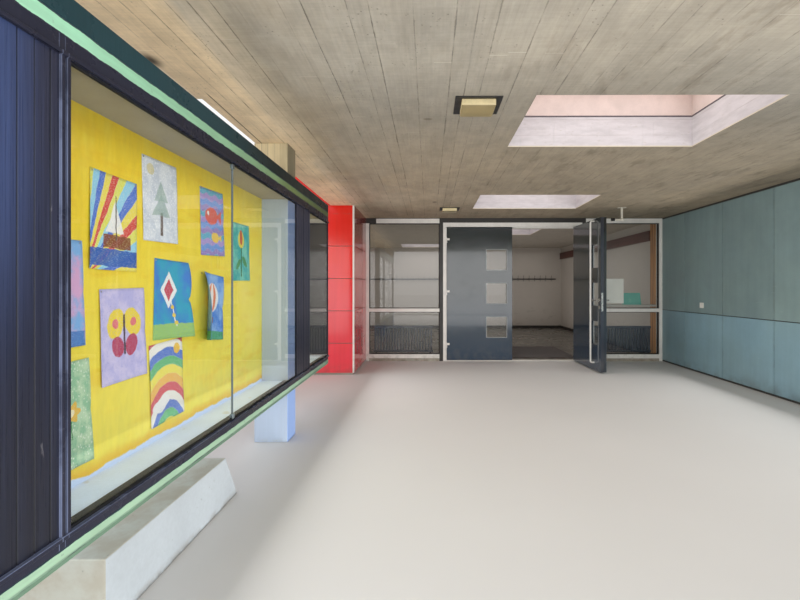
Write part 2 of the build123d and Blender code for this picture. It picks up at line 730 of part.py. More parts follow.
def case_end():
    return block(CASE_BACK_X + CASE_BOARD, CASE_X - CASE_FRAME_DEPTH, CASE_END_Y - CASE_BOARD,
                 CASE_END_Y, CASE_BOTTOM, CASE_TOP - CASE_BOARD)


def case_front_bar(low, high):
    return block(CASE_X - CASE_FRAME_DEPTH, CASE_X, CASE_START_Y, CASE_END_Y, low, high)


def case_rib(depth, y0, y1, z0, z1):
    """A rib that stands proud of the case's frame."""
    return block(CASE_X - CASE_FRAME_DEPTH, CASE_X + depth, y0, y1, z0, z1)


def case_frame():
    """Dark rails and posts that hold the glass, with ribs along the rails and the near post."""
    frame = case_front_bar(CASE_STRIP_TOP, CASE_RAIL_TOP)
    frame += case_front_bar(CASE_GLASS_TOP, CASE_TOP_RAIL_TOP)
    for low in (CASE_RAIL_TOP - CASE_RIB_WIDTH, CASE_GLASS_TOP):
        frame += case_rib(CASE_RIB, CASE_START_Y, CASE_END_Y, low, low + CASE_RIB_WIDTH)
    posts = (
        (CASE_START_Y + CASE_BOARDED_LENGTH, CASE_POST_WIDTH),
        (CASE_END_Y - CASE_BOARD, CASE_BOARD),
    )
    for y, width in posts:
        frame += block(CASE_X - CASE_FRAME_DEPTH, CASE_X, y, y + width, CASE_RAIL_TOP,
                       CASE_GLASS_TOP)
    post = posts[0][0]
    gap = (CASE_POST_WIDTH - 2 * CASE_RIB_WIDTH) / 3
    for y in (post + gap, post + 2 * gap + CASE_RIB_WIDTH):
        frame += case_rib(CASE_POST_RIB, y, y + CASE_RIB_WIDTH, CASE_RAIL_TOP, CASE_GLASS_TOP)
    return frame


def case_boards():
    """The boarded near part and the closed panel beside the column."""
    spans = (
        (CASE_START_Y, CASE_START_Y + CASE_BOARDED_LENGTH),
        (FRONT + CASE_SOLID_FROM_FRONT, FRONT + CASE_SOLID_FROM_FRONT + CASE_SOLID_LENGTH),
    )
    for y0, y1 in spans:
        yield block(CASE_X - CASE_FRAME_DEPTH, CASE_X, y0, y1, CASE_RAIL_TOP, CASE_GLASS_TOP)


def case_glass():
    x1 = CASE_X - (CASE_FRAME_DEPTH - CASE_GLASS_THICKNESS) / 2
    x0 = x1 - CASE_GLASS_THICKNESS
    start = CASE_START_Y + CASE_BOARDED_LENGTH + CASE_POST_WIDTH
    joint = FRONT + CASE_GLASS_JOINT
    solid = FRONT + CASE_SOLID_FROM_FRONT
    spans = (
        (start, joint - CASE_GLASS_GAP / 2),
        (joint + CASE_GLASS_GAP / 2, solid),
        (solid + CASE_SOLID_LENGTH, CASE_END_Y - CASE_BOARD),
    )
    for y0, y1 in spans:
        yield block(x0, x1, y0, y1, CASE_RAIL_TOP, CASE_GLASS_TOP)


def concrete_block():
    """A cast block with a battered end, lower than the case."""
    x1 = LEFT + BLOCK_RIGHT
    y0 = FRONT + BLOCK_START
    profile = Polyline((y0, 0), (y0 + BLOCK_FOOT_LENGTH, 0), (y0 + BLOCK_TOP_LENGTH, BLOCK_HEIGHT),
                       (y0, BLOCK_HEIGHT), close=True)
    return extrude(Plane(origin=(x1 - BLOCK_WIDTH, 0, 0), x_dir=(0, 1, 0), z_dir=(1, 0, 0))
                   * make_face(profile), amount=BLOCK_WIDTH)


def hall_floor():
    """One slab over the hall and the wing's bay."""
    wing_inner = WING_Y + RED_THICKNESS + WING_WALL_THICKNESS
    side_inner = WING_X - RED_THICKNESS - WING_WALL_THICKNESS
    floor = block(LEFT_INNER, WALL_INNER, SCREEN_BACK, BACK_INNER, 0, FLOOR_THICKNESS)
    floor += block(LEFT_INNER, side_inner, wing_inner, SCREEN_BACK, 0, FLOOR_THICKNESS)
    return floor


def entrance_mat():
    y0 = SCREEN_Y + MAT_FROM_SCREEN
    return block(DOOR_X - MAT_WIDTH / 2, DOOR_X + MAT_WIDTH / 2, y0, y0 + MAT_LENGTH,
                 FLOOR_THICKNESS, FLOOR_THICKNESS + MAT_THICKNESS)


def coat_hook():
    """A double hook: one arm bent up and one bent down from the rail's face."""
    half = COAT_RAIL_SECTION / 2
    profile = Polyline((0, -half), (0, half), (HOOK_ARM - HOOK_REACH, HOOK_RISE),
                       (-HOOK_REACH, HOOK_RISE - HOOK_ARM), (-HOOK_ARM, 0),
                       (-HOOK_LOW_REACH, HOOK_ARM - HOOK_DROP), (HOOK_ARM - HOOK_LOW_REACH, -HOOK_DROP),
                       close=True)
    return extrude(Plane.YZ * make_face(profile), amount=HOOK_WIDTH / 2, both=True)


def coat_rail():
    """A rail along the back wall with its hooks."""
    x0 = LEFT_INNER + HOOK_PITCH
    x1 = WALL_INNER - HOOK_PITCH
    half = COAT_RAIL_SECTION / 2
    rail = block(x0, x1, BACK_INNER - COAT_RAIL_SECTION, BACK_INNER, COAT_RAIL_HEIGHT - half,
                 COAT_RAIL_HEIGHT + half)
    count = int((x1 - x0) // HOOK_PITCH)
    margin = (x1 - x0 - (count - 1) * HOOK_PITCH) / 2
    hook = coat_hook()
    for n in range(count):
        x = x0 + margin + n * HOOK_PITCH
        rail += Pos(x, BACK_INNER - COAT_RAIL_SECTION, COAT_RAIL_HEIGHT) * hook
    return rail


def wall_beam():
    y0 = SCREEN_BACK + LINING_LENGTH
    return block(WALL_INNER - BEAM_THICKNESS, WALL_INNER, y0, BACK_INNER, BEAM_TOP - BEAM_HEIGHT,
                 BEAM_TOP)


def timber_lining():
    return block(WALL_INNER - LINING_THICKNESS, WALL_INNER, SCREEN_BACK, SCREEN_BACK + LINING_LENGTH,
                 FLOOR_THICKNESS, SOFFIT_HEIGHT)


def radiator(x0, x1):
    """Upright tubes between two headers, on feet."""
    y = SCREEN_Y + RADIATOR_FROM_SCREEN
    half = RADIATOR_HEADER / 2
    shape = block(x0, x1, y - half, y + half, RADIATOR_BOTTOM, RADIATOR_BOTTOM + RADIATOR_HEADER)
    shape += block(x0, x1, y - half, y + half, RADIATOR_TOP - RADIATOR_HEADER, RADIATOR_TOP)
    count = int((x1 - x0) // RADIATOR_PITCH)
    margin = (x1 - x0 - (count - 1) * RADIATOR_PITCH) / 2
    tube = RADIATOR_TUBE / 2
    for n in range(count):
        x = x0 + margin + n * RADIATOR_PITCH
        shape += block(x - tube, x + tube, y - tube, y + tube,
                       RADIATOR_BOTTOM + RADIATOR_HEADER, RADIATOR_TOP - RADIATOR_HEADER)
    for x in (x0 + RADIATOR_PITCH, x1 - RADIATOR_PITCH):
        shape += block(x - tube, x + tube, y - tube, y + tube, FLOOR_THICKNESS, RADIATOR_BOTTOM)
    return shape


def window_shelf():
    """A board behind the right window, from the timber lining to the screen's dark post."""
    x0 = right_window_span()[0]
    return block(x0, WALL_INNER - LINING_THICKNESS, SCREEN_BACK, SCREEN_BACK + SHELF_DEPTH,
                 SHELF_TOP - SHELF_THICKNESS, SHELF_TOP)


lower_row, upper_row = panel_rows()
left_span = left_window_span()
right_span = right_window_span()

parts = {
    "roof_slab": roof_slab(),
    "roof_parapet": roof_parapet(),
    "roof_covering": roof_covering(),
    "lamp_housings": group(lamp_housings()),
    "lamp_covers": group(lamp_covers()),
    "right_wall": right_wall(),
    "back_wall": back_wall(),
    "left_wall": left_wall(),
    "wing_front_wall": wing_front_wall(),
    "wing_side_wall": wing_side_wall(),
    "forecourt_panels_lower": group(forecourt_panels(lower_row)),
    "forecourt_panels_upper": group(forecourt_panels(upper_row)),
    "outer_panels": group(outer_panels()),
    "red_panels": group([*red_front_panels(), *red_side_panels()]),
    "red_corner_trim": corner_trim(),
    "switch_box": switch_box(),
    "dark_frame": dark_frame(),
    "left_window_frame": window_frame(left_span, "left", left_span[0] + HEAD_BLOCK_WIDTH),
    "right_window_frame": window_frame(right_span, "right", right_span[0]),
    "window_glass": group([*window_glass(left_span, "left"), *window_glass(right_span, "right")]),
    "window_kerbs": group(window_kerbs()),
    "door_frame": door_frame(),
    "threshold": threshold(),
    "left_leaf": hang_left(leaf()),
    "left_leaf_glass": hang_left(group(leaf_glass())),
    "left_leaf_hinges": hang_left(group(leaf_hinges())),
    "right_leaf": hang_right(leaf() - lever_hole(), OPEN_ANGLE),
    "right_leaf_glass": hang_right(group(leaf_glass()), OPEN_ANGLE),
    "right_leaf_hinges": hang_right(group(leaf_hinges()), OPEN_ANGLE),
    "post_hinges": group([*(hang_left(hinge) for hinge in frame_hinges()),
                          *(hang_right(hinge) for hinge in frame_hinges())]),
    "pull_bar": hang_right(pull_bar(), OPEN_ANGLE),
    "door_lever": hang_right(lever(), OPEN_ANGLE),
    "lock_furniture": hang_right(group(lock_furniture()), OPEN_ANGLE),
    "door_stop": door_stop(),
    "stop_buffer": stop_buffer(),
    "columns": group(column(start) for start in COLUMN_STARTS),
    "case_back": case_back(),
    "case_floor": case_floor(),
    "case_ceiling": case_ceiling(),
    "case_roof": case_roof(),
    "case_end": case_end(),
    "case_frame": case_frame(),
    "case_boards": group(case_boards()),
    "case_glass": group(case_glass()),
    "case_strips": group([case_front_bar(CASE_BOTTOM, CASE_STRIP_TOP),
                          case_front_bar(CASE_TOP_RAIL_TOP, CASE_GREEN_TOP)]),
    "case_fascia": case_front_bar(CASE_GREEN_TOP, CASE_TOP),
    "concrete_block": concrete_block(),
    "hall_floor": hall_floor(),
    "entrance_mat": entrance_mat(),
    "coat_rail": coat_rail(),
    "wall_beam": wall_beam(),
    "timber_lining": timber_lining(),
    "window_shelf": window_shelf(),
    "rooflight_curbs": group(rooflight_curb(x, y) for x, y in rooflight_centres()),
    "rooflight_domes": group(rooflight_dome(x, y) for x, y in rooflight_centres()),
    "radiators": group([
        radiator(left_span[0] + 2 * FRAME_WIDTH, left_span[1] - 2 * FRAME_WIDTH),
        radiator(right_span[0] + FRAME_WIDTH, right_span[1] - 2 * FRAME_WIDTH),
    ]),
}

for name, shape in parts.items():
    export_step(shape, f"parts/{name}.step")
print(len(parts), "parts")
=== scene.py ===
"""Looks of a covered school entrance building, laid out as an add-on.

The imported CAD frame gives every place. The operators below give each piece its finish and add
what is too fine for the frame. Metres, +Z up, the ground is Z = 0, +Y runs into the hall.
"""
import json
import math
import random

import bmesh
import bpy
from bpy.props import FloatProperty, FloatVectorProperty, IntProperty, PointerProperty
from mathutils import Matrix, Vector

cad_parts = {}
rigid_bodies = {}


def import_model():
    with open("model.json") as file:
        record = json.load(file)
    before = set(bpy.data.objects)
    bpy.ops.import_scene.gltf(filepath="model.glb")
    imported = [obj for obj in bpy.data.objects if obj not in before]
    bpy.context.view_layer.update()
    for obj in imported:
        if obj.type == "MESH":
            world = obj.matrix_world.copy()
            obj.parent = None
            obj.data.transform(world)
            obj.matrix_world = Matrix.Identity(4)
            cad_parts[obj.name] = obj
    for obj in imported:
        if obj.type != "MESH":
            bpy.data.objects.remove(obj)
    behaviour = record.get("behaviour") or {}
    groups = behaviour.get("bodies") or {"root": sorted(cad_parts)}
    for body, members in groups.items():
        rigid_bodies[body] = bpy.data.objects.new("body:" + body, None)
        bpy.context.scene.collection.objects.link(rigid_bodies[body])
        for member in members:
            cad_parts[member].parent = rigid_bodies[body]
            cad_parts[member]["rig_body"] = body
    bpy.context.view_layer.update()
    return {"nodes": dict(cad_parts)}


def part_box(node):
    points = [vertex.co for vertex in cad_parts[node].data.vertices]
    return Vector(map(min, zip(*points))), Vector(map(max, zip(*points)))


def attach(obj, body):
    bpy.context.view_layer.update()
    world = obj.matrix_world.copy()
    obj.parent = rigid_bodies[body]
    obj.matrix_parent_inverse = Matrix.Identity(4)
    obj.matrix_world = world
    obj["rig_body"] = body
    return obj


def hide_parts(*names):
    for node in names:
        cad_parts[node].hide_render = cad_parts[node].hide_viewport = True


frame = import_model()

bl_info = {
    "name": "School entrance building",
    "version": (1, 0, 0),
    "blender": (4, 5, 0),
    "location": "View3D > Sidebar > Entrance",
    "description": "Finishes and fittings of a covered school entrance building",
    "category": "Object",
}

# Places read from the frame
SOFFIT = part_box("roof_slab")[0].z
ROOF_LOW, ROOF_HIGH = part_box("roof_parapet")
SCREEN_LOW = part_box("dark_frame")[0]
CASE_LOW, CASE_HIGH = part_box("case_frame")
BOARD_LOW, BOARD_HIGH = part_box("case_back")
CURB_LOW, CURB_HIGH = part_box("rooflight_curbs")
PANEL_LOW, PANEL_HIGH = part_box("forecourt_panels_upper")
HALL_LOW, HALL_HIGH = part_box("hall_floor")
WING_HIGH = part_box("red_panels")[1]
LEFT_LEAF_LOW, LEFT_LEAF_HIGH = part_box("left_leaf")
DOOR_X = (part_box("door_frame")[0].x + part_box("door_frame")[1].x) / 2
KNUCKLE = 0.008
HINGE_Y = LEFT_LEAF_LOW.y - KNUCKLE
HINGE_REACH = 1.152
OPEN_ANGLE = math.radians(92)
LEAF_DEPTH = LEFT_LEAF_HIGH.y - LEFT_LEAF_LOW.y
FACING = 0.036
SQUARE_LEFT, SQUARE_SIZE = 0.691, 0.36
SQUARE_BOTTOMS = (0.413, 1.003, 1.590)
ROOFLIGHTS = [(DOOR_X, -4.009), (DOOR_X, -0.929), (DOOR_X + 0.095, 2.6), (DOOR_X - 1.465, 5.9)]
ROOFLIGHT_HALF = (0.79, 0.525)
LAMP_CENTRES = [(-0.564, -4.380), (-0.564, -0.396)]
GROUND = 0.0
PANEL_PITCH = 0.931
RED_START, RED_PITCH = 0.466, 0.478
NEAR_PITCH, FAR_PITCH = 0.05647, 0.056
CASE_JOINT = -4.690
MIDDLE_RAIL = (0.860, 0.920)


def rgb(code):
    """A hex colour as three linear values."""
    values = (int(code[i:i + 2], 16) / 255 for i in (0, 2, 4))
    return tuple(v / 12.92 if v <= 0.04045 else ((v + 0.055) / 1.055) ** 2.4 for v in values)


def linear(value):
    """Linear values of a hex code, or of a colour as it is."""
    return rgb(value) if isinstance(value, str) else tuple(value)[:3]


def colour(code, name, description):
    return FloatVectorProperty(name=name, description=description, subtype="COLOR", size=3,
                               min=0.0, max=1.0, default=rgb(code))


def length(value, name, description):
    return FloatProperty(name=name, description=description, default=value, min=0.0,
                         unit="LENGTH", precision=4)


# ---------------------------------------------------------------- settings


class EntranceColours(bpy.types.PropertyGroup):
    """Colours of the paints and materials."""

    concrete: colour("a39c8f", "Concrete", "Weathered concrete of the soffit")
    concrete_warm: colour("c4ae8c", "Warm concrete", "Tan areas of the soffit")
    shaft_white: colour("c6c2c5", "Shaft white", "Paint of the roof-light shafts")
    opal: colour("fbe9e2", "Opal", "Curbs and domes of the roof lights")
    felt: colour("6d6e6b", "Roofing felt", "Mineral felt of the roof")
    blue_grey: colour("7f9597", "Blue grey", "Upper wall panels")
    blue_grey_low: colour("84a4b1", "Lower blue grey", "Lower wall panels")
    red: colour("e3261a", "Red", "Panels of the wing")
    # The pink at the foot of the red panels is a painted reflection of the pale ground.
    red_foot_reflection: colour("e4485a", "Faded red", "Foot of the red panels")
    cream: colour("e6e4de", "Cream", "Steel frames, hinges and pull bar")
    dark: colour("2a2826", "Dark paint", "Posts and strips of the screen")
    leaf: colour("293234", "Leaf paint", "Gloss paint of the door leaves")
    case_dark: colour("2d2f40", "Case paint", "Rails, posts and boards of the case")
    mint: colour("b0edca", "Mint", "Strips above and below the case")
    teal: colour("2b474f", "Teal", "Fascia of the case")
    yellow: colour("f8d000", "Yellow", "Brushed board in the case")
    case_white: colour("d0e2fc", "Shelf white", "Floor of the case")
    case_ceiling: colour("9b9484", "Case ceiling", "Ceiling of the case")
    column: colour("aec4e6", "Column paint", "Lower part of the columns")
    hall_wall: colour("b9b0a6", "Hall wall", "Painted walls of the hall")
    hall_floor: colour("615e59", "Hall floor", "Floor of the hall")
    mat: colour("453833", "Mat", "Entrance mat")
    beam: colour("5a2f26", "Beam", "Red-brown beam in the hall")
    timber: colour("c98f4f", "Timber", "Lining beside the right window")
    radiator: colour("2b303c", "Radiator", "Radiator paint")
    lamp_cover: colour("dccb9f", "Lamp cover", "Aged covers of the soffit lamps")
    floor: colour("dddcda", "Stage floor", "Plain floor under the building")


class EntranceSizes(bpy.types.PropertyGroup):
    """Sizes of the pieces that are added to the frame."""

    formwork_width: length(0.095, "Formwork board", "Width of a board mark in the soffit")
    formwork_length: length(2.9, "Formwork length", "Length of a board mark in the soffit")
    edge: length(0.0015, "Panel edge", "Rounding of the panel edges")
    board_chamfer: length(0.003, "Board chamfer", "Chamfer beside each board joint")
    bead: length(0.012, "Glazing bead", "Width of the beads round the glass")
    paper: length(0.0005, "Paper", "Thickness of the drawing sheets")
    sheet_width: length(0.297, "Sheet width", "Width of a drawing sheet")
    sheet_height: length(0.420, "Sheet height", "Height of a drawing sheet")
    mat_rib: length(0.006, "Mat rib", "Width of a rib of the mat")
    mat_pitch: length(0.012, "Mat pitch", "From one rib of the mat to the next")
    hook_pitch: length(0.170, "Hook pitch", "From one coat hook to the next")
    skirting: length(0.080, "Skirting", "Height of the hall's skirting")
    bolt_pitch: length(0.300, "Bolt pitch", "From one bolt to the next round a dome")
    seed: IntProperty(name="Seed", description="Seed of every random draw", default=7, min=0)


# ---------------------------------------------------------------- materials


class Nodes:
    """A node tree that is made in short calls."""

    PREFIX = ""

    def add(self, kind, *values, out=0, options=None, **named):
        """A new node. Values that are sockets are linked, others are set."""
        node = self.nodes.new(self.PREFIX + kind)
        for key, value in (options or {}).items():
            setattr(node, key, value)
        for key, value in [*enumerate(values), *named.items()]:
            socket = node.inputs[key if isinstance(key, int) else key.replace("_", " ")]
            if isinstance(value, bpy.types.NodeSocket):
                self.links.new(value, socket)
            elif socket.type == "RGBA" and len(value) == 3:
                socket.default_value = (*value, 1.0)
            else:
                socket.default_value = value
        return node.outputs[out]

    def calc(self, operation, *values):
        return self.add(self.MATH, *values, options={"operation": operation})


class Finish(Nodes):
    """The node tree of one material. A colour is a hex code, a setting or a socket."""

    PREFIX = "ShaderNode"
    MATH = "Math"

    def __init__(self, name):
        self.material = bpy.data.materials.new(name)
        self.material.use_nodes = True
        self.nodes = self.material.node_tree.nodes
        self.links = self.material.node_tree.links
        self.nodes.clear()
        self.kept = {}

    def place(self):
        """Object coordinates."""
        if "place" not in self.kept:
            self.kept["place"] = self.add("TexCoord", out=3)
        return self.kept["place"]

    def axes(self):
        """X, Y and Z of the object coordinates."""
        if "axes" not in self.kept:
            self.kept["axes"] = tuple(self.add("SeparateXYZ", self.place()).node.outputs)
        return self.kept["axes"]

    def chain(self, operation, values):
        """Values joined by one operation, from the first to the last."""
        result = values[0]
        for value in values[1:]:
            result = self.calc(operation, result, value)
        return result

    def product(self, *values):
        return self.chain("MULTIPLY", values)

    def plus(self, *values):
        return self.chain("ADD", values)

    def most(self, *values):
        return self.chain("MAXIMUM", values)

    def less(self, value, taken):
        return self.calc("SUBTRACT", value, taken)

    def ramp(self, value, low, high, start=0.0, end=1.0, smooth=True):
        """Value between low and high, spread from start to end and held beyond."""
        options = {"interpolation_type": "SMOOTHSTEP" if smooth else "LINEAR"}
        return self.add("MapRange", value, low, high, start, end, options=options)

    def fade(self, value, low, high):
        """1 up to low, and from there down to 0 at high."""
        return self.ramp(value, low, high, 1.0, 0.0)

    def vary(self, noise, low, high):
        """A noise, spread between two levels."""
        return self.ramp(noise, 0.3, 0.7, low, high)

    def spread(self, number, low, high):
        """A number from 0 to 1, spread evenly between two levels."""
        return self.ramp(number, 0.0, 1.0, low, high, False)

    def stretched(self, scale, shift=0.0):
        """Coordinates times three factors, moved by shift."""
        return self.add("Mapping", self.place(), (shift, shift * 0.7, shift * 1.3), (0, 0, 0),
                        scale)

    def noise(self, scale, stretch=(1, 1, 1), detail=3.0, rough=0.55, shift=0.0):
        return self.add("TexNoise", self.stretched(stretch, shift), Scale=scale, Detail=detail,
                        Roughness=rough)

    def cells(self, scale):
        """Distance to the nearest of scattered points."""
        return self.add("TexVoronoi", self.stretched((1, 1, 1)), Scale=scale)

    def random(self, *values):
        """A random number for each set of whole numbers."""
        return self.add("TexWhiteNoise", self.add("CombineXYZ", *values))

    def courses(self, value, pitch):
        """The number of the course, and the distance to its nearest joint."""
        turns = self.calc("DIVIDE", value, pitch)
        from_middle = self.calc("ABSOLUTE", self.less(self.calc("FRACT", turns), 0.5))
        return self.calc("FLOOR", turns), self.product(self.less(0.5, from_middle), pitch)

    def between(self, value, low, high, soft=0.0005):
        """1 between two values, 0 outside."""
        return self.product(self.ramp(value, low - soft, low + soft),
                            self.fade(value, high - soft, high + soft))

    def mix(self, share, first, second):
        node = self.add("Mix", out=2, options={"data_type": "RGBA"}).node
        for index, value in ((0, share), (6, first), (7, second)):
            if isinstance(value, bpy.types.NodeSocket):
                self.links.new(value, node.inputs[index])
            else:
                node.inputs[index].default_value = (*linear(value), 1.0) if index else value
        return node.outputs[2]

    def over(self, base, paint, *shares):
        """A paint over another, as dense as the product of its shares."""
        return self.mix(self.product(*shares), base, paint)

    def tone(self, value, *levels):
        """A colour times one or more brightness levels."""
        level = self.product(*levels)
        node = self.add("VectorMath", options={"operation": "SCALE"}).node
        if isinstance(value, bpy.types.NodeSocket):
            self.links.new(value, node.inputs[0])
        else:
            node.inputs[0].default_value = linear(value)
        self.links.new(level, node.inputs[3])
        return node.outputs[0]

    def bump(self, height, depth, strength):
        return self.add("Bump", Height=height, Distance=depth, Strength=strength)

    def coat(self, **named):
        return self.add("BsdfPrincipled", **named)

    def surface(self, base, rough, height, depth, strength, **more):
        """The material of one coat, with a bump of a depth and a strength."""
        normal = self.bump(height, depth, strength)
        return self.done(self.coat(Base_Color=base, Roughness=rough, Normal=normal, **more))

    def done(self, shader):
        output = self.nodes.new("ShaderNodeOutputMaterial")
        self.links.new(shader, output.inputs[0])
        return self.material


def spot(f, centre, reach, soft=0.4):
    """1 inside an ellipse on the level plane, fading to 0 outside."""
    x, y, _ = f.axes()
    across = f.calc("DIVIDE", f.less(x, centre[0]), reach[0])
    along = f.calc("DIVIDE", f.less(y, centre[1]), reach[1])
    far = f.calc("SQRT", f.plus(f.product(across, across), f.product(along, along)))
    return f.fade(far, 1.0 - soft, 1.0 + soft)


def soffit_concrete(c, sizes):
    """Underside of the slab with board marks, and white paint in the roof-light shafts."""
    f = Finish("board_marked_concrete")
    x, y, z = f.axes()
    bent = f.plus(x, f.spread(f.noise(1.4, (1, 0.8, 1), detail=2.0), -0.006, 0.006))
    board, edge = f.courses(bent, sizes.formwork_width)
    nearest = f.calc("FLOOR", f.plus(f.calc("DIVIDE", bent, sizes.formwork_width), 0.5))
    shift = f.product(f.random(board, 3.0), sizes.formwork_length)
    run, end = f.courses(f.plus(y, shift), sizes.formwork_length)
    tone = f.random(board, run, 1.0)
    broken = f.noise(2.2, (7, 2.6, 1), detail=5.0, rough=0.75)
    gap = f.less(edge, f.ramp(broken, 0.50, 0.72, 0.0, 0.0035))
    seam = f.product(f.fade(gap, 0.0004, 0.0034), f.ramp(f.random(nearest, 8.0), 0.1, 0.95),
                     f.ramp(broken, 0.40, 0.56, 0.18, 1.0), f.ramp(x, -2.0, 0.6, 1.0, 0.7))
    fin = f.product(f.fade(end, 0.001, 0.004), f.ramp(f.random(board, run, 5.0), 0.45, 0.6))
    # tan towards the left and the front, grey in the middle, brown smudges towards the right
    drift = f.noise(0.7, (1, 0.6, 1), detail=4.0)
    below = f.fade(z, SOFFIT + 0.0005, SOFFIT + 0.003)
    # The tan that gathers towards the open left edge is painted warm daylight, laid over random
    # drifts of tan in the concrete.
    left = f.plus(f.ramp(x, -2.2, -1.0, 0.6, 0.1), f.ramp(y, -4.9, -2.4, 0.0, 0.5))
    outer = f.product(f.ramp(x, -2.05, -1.90, 0.85, 0.0), below)
    warm = f.most(f.product(f.ramp(drift, 0.38, 0.62), left), outer)
    warm = f.most(warm, f.product(f.ramp(y, -4.9, -3.0, 0.0, 0.5), below))
    base = f.mix(warm, c.concrete, c.concrete_warm)
    smudge = f.product(f.ramp(f.noise(3.4, (2.2, 0.7, 1), detail=5.0, rough=0.65, shift=2.0), 0.52,
                              0.68), f.ramp(x, -1.2, 0.8, 0.25, 1.0))
    base = f.over(base, "6f604c", smudge, 0.38)
    along = f.noise(1.0, (75, 3.0, 75), detail=4.0, rough=0.65)
    across = f.noise(1.0, (5.0, 60, 5.0), detail=3.0, rough=0.6, shift=5.0)
    blotch = f.noise(4.2, (1.2, 0.8, 1), detail=6.0, rough=0.68, shift=4.0)
    base = f.tone(base, f.spread(tone, 0.965, 1.03), f.vary(along, 0.94, 1.05),
                  f.vary(across, 0.96, 1.035), f.vary(blotch, 0.87, 1.09))
    pores = f.product(f.fade(f.cells(40.0), 0.10, 0.20),
                      f.ramp(f.noise(4.0, shift=9.0), 0.48, 0.62))
    base = f.over(base, "463c31", seam, 0.64)
    base = f.over(base, "574c40", pores, 0.5)
    base = f.over(base, "dcd4c4", fin, 0.55)
    lime = f.ramp(f.noise(6.0, (1.0, 1.6, 1), detail=6.0, rough=0.75, shift=12.0), 0.64, 0.76)
    base = f.over(base, "d4ccbc", lime, 0.30)
    # Painted shade darkens the soffit away from the open left edge and deeper under the roof;
    # painted light brightens it along the open left edge.
    corner = f.product(f.ramp(x, -0.9, -0.1, 0.4, 0.0), f.ramp(y, -6.0, -5.2))
    painted_soffit_shade = f.product(f.ramp(x, -2.0, -1.5, 0.1, 1.0), f.most(f.ramp(y, -5.5, -4.1), corner),
                     f.ramp(y, -2.2, -1.0, 0.47, 0.32), below)
    rim = f.product(f.ramp(x, -2.2, -1.7, 0.6, 0.0), below)
    base = f.tone(base, f.less(1.0, painted_soffit_shade), f.plus(1.0, rim))
    slant = f.plus(x, f.product(y, 0.0185))
    joint = f.product(f.between(slant, -2.351, -2.343, 0.0015), f.between(y, -4.56, -3.58, 0.04))
    base = f.over(base, "33261a", joint, 0.9)
    # Painted sunlight: a pale line along the slab's edge short of the notch.
    lit = f.product(f.fade(x, -2.362, -2.352), f.between(y, -4.92, -4.49, 0.02))
    base = f.over(base, "ecdfc6", lit, 0.6)
    damp = spot(f, (-2.356, -4.975), (0.038, 0.062), 0.85)
    base = f.over(base, "2a2018", damp, f.ramp(blotch, 0.3, 0.6, 0.7, 0.95))
    rust = f.most(spot(f, (-0.89, -4.13), (0.03, 0.02)), spot(f, (-0.8, -0.95), (0.03, 0.05)))
    base = f.over(base, "4a3a2c", rust, 0.55)
    hall = f.between(y, SCREEN_LOW.y + 0.03, HALL_HIGH.y)
    base = f.over(base, c.hall_wall, hall, 0.55)
    # the shafts, painted white over boards that lay level
    shaft = f.product(f.ramp(z, SOFFIT + 0.0002, SOFFIT + 0.0012),
                      f.between(x, DOOR_X - 2.4, DOOR_X + 1.0),
                      f.between(y, ROOF_LOW.y + 0.05, ROOF_HIGH.y - 0.05))
    level, mark = f.courses(f.plus(z, 0.02), 0.131)
    line = f.product(f.fade(mark, 0.0005, 0.0030), f.ramp(f.noise(3.0), 0.38, 0.60))
    white = f.tone(c.shaft_white, f.vary(f.noise(5.0, (1, 1, 4), detail=6.0, rough=0.65), 0.86,
                                         1.03), f.spread(f.random(level), 0.95, 1.0))
    white = f.over(white, "8b8380", line, 0.45)
    worn = f.ramp(f.noise(22.0, (1, 1, 3), detail=4.0), 0.62, 0.72)
    white = f.over(white, c.concrete, worn, 0.35)
    arris = f.fade(z, SOFFIT + 0.006, SOFFIT + 0.012)
    white = f.over(white, "cdbf97", arris, 0.6)
    base = f.mix(shaft, base, white)
    height = f.plus(f.product(seam, -0.9), f.product(along, 0.35))
    height = f.plus(height, f.product(blotch, 0.5))
    height = f.plus(height, f.plus(f.product(tone, 0.4), f.product(fin, 0.6)))
    height = f.less(height, f.product(pores, 0.9))
    height = f.less(height, f.product(line, shaft, 0.5))
    rough = f.mix(shaft, (0.88, 0.88, 0.88), (0.62, 0.62, 0.62))
    return f.surface(base, rough, height, 0.003, 0.8)


def cast_concrete(c, name="cast_concrete"):
    """Cast pieces outside: upright board marks, pores, dark streaks at the top and dirt at the
    foot.
    """
    f = Finish(name)
    x, y, z = f.axes()
    board, edge = f.courses(f.plus(x, y), 0.14)
    seam = f.product(f.fade(edge, 0.0006, 0.003), f.ramp(f.noise(2.0), 0.40, 0.6))
    grain = f.noise(1.0, (60, 60, 2.2), detail=4.0)
    blotch = f.noise(3.0, detail=6.0, rough=0.62)
    pores = f.product(f.fade(f.cells(46.0), 0.10, 0.20), f.ramp(f.noise(6.0, shift=5.0), 0.5, 0.62))
    base = f.mix(f.ramp(f.noise(0.8, detail=4.0), 0.4, 0.65), c.concrete, "aaa79c")
    base = f.tone(base, f.spread(f.random(board), 0.93, 1.06), f.vary(grain, 0.94, 1.05),
                  f.vary(blotch, 0.86, 1.10))
    base = f.over(base, "55493c", seam, 0.5)
    base = f.over(base, "5b5145", pores, 0.5)
    streak = f.product(f.ramp(f.noise(1.0, (9, 9, 0.7), detail=4.0), 0.54, 0.72),
                       f.ramp(z, 1.8, 3.0))
    base = f.over(base, "4d4840", streak, 0.5)
    foot = f.product(f.fade(z, 0.0, 0.12), f.ramp(f.noise(9.0), 0.35, 0.6))
    base = f.over(base, "6b5c48", foot, 0.45)
    height = f.less(f.plus(f.product(grain, 0.5), f.product(blotch, 0.4)),
                    f.plus(f.product(seam, 0.8), f.product(pores, 0.9)))
    return f.surface(base, 0.88, height, 0.003, 0.8)


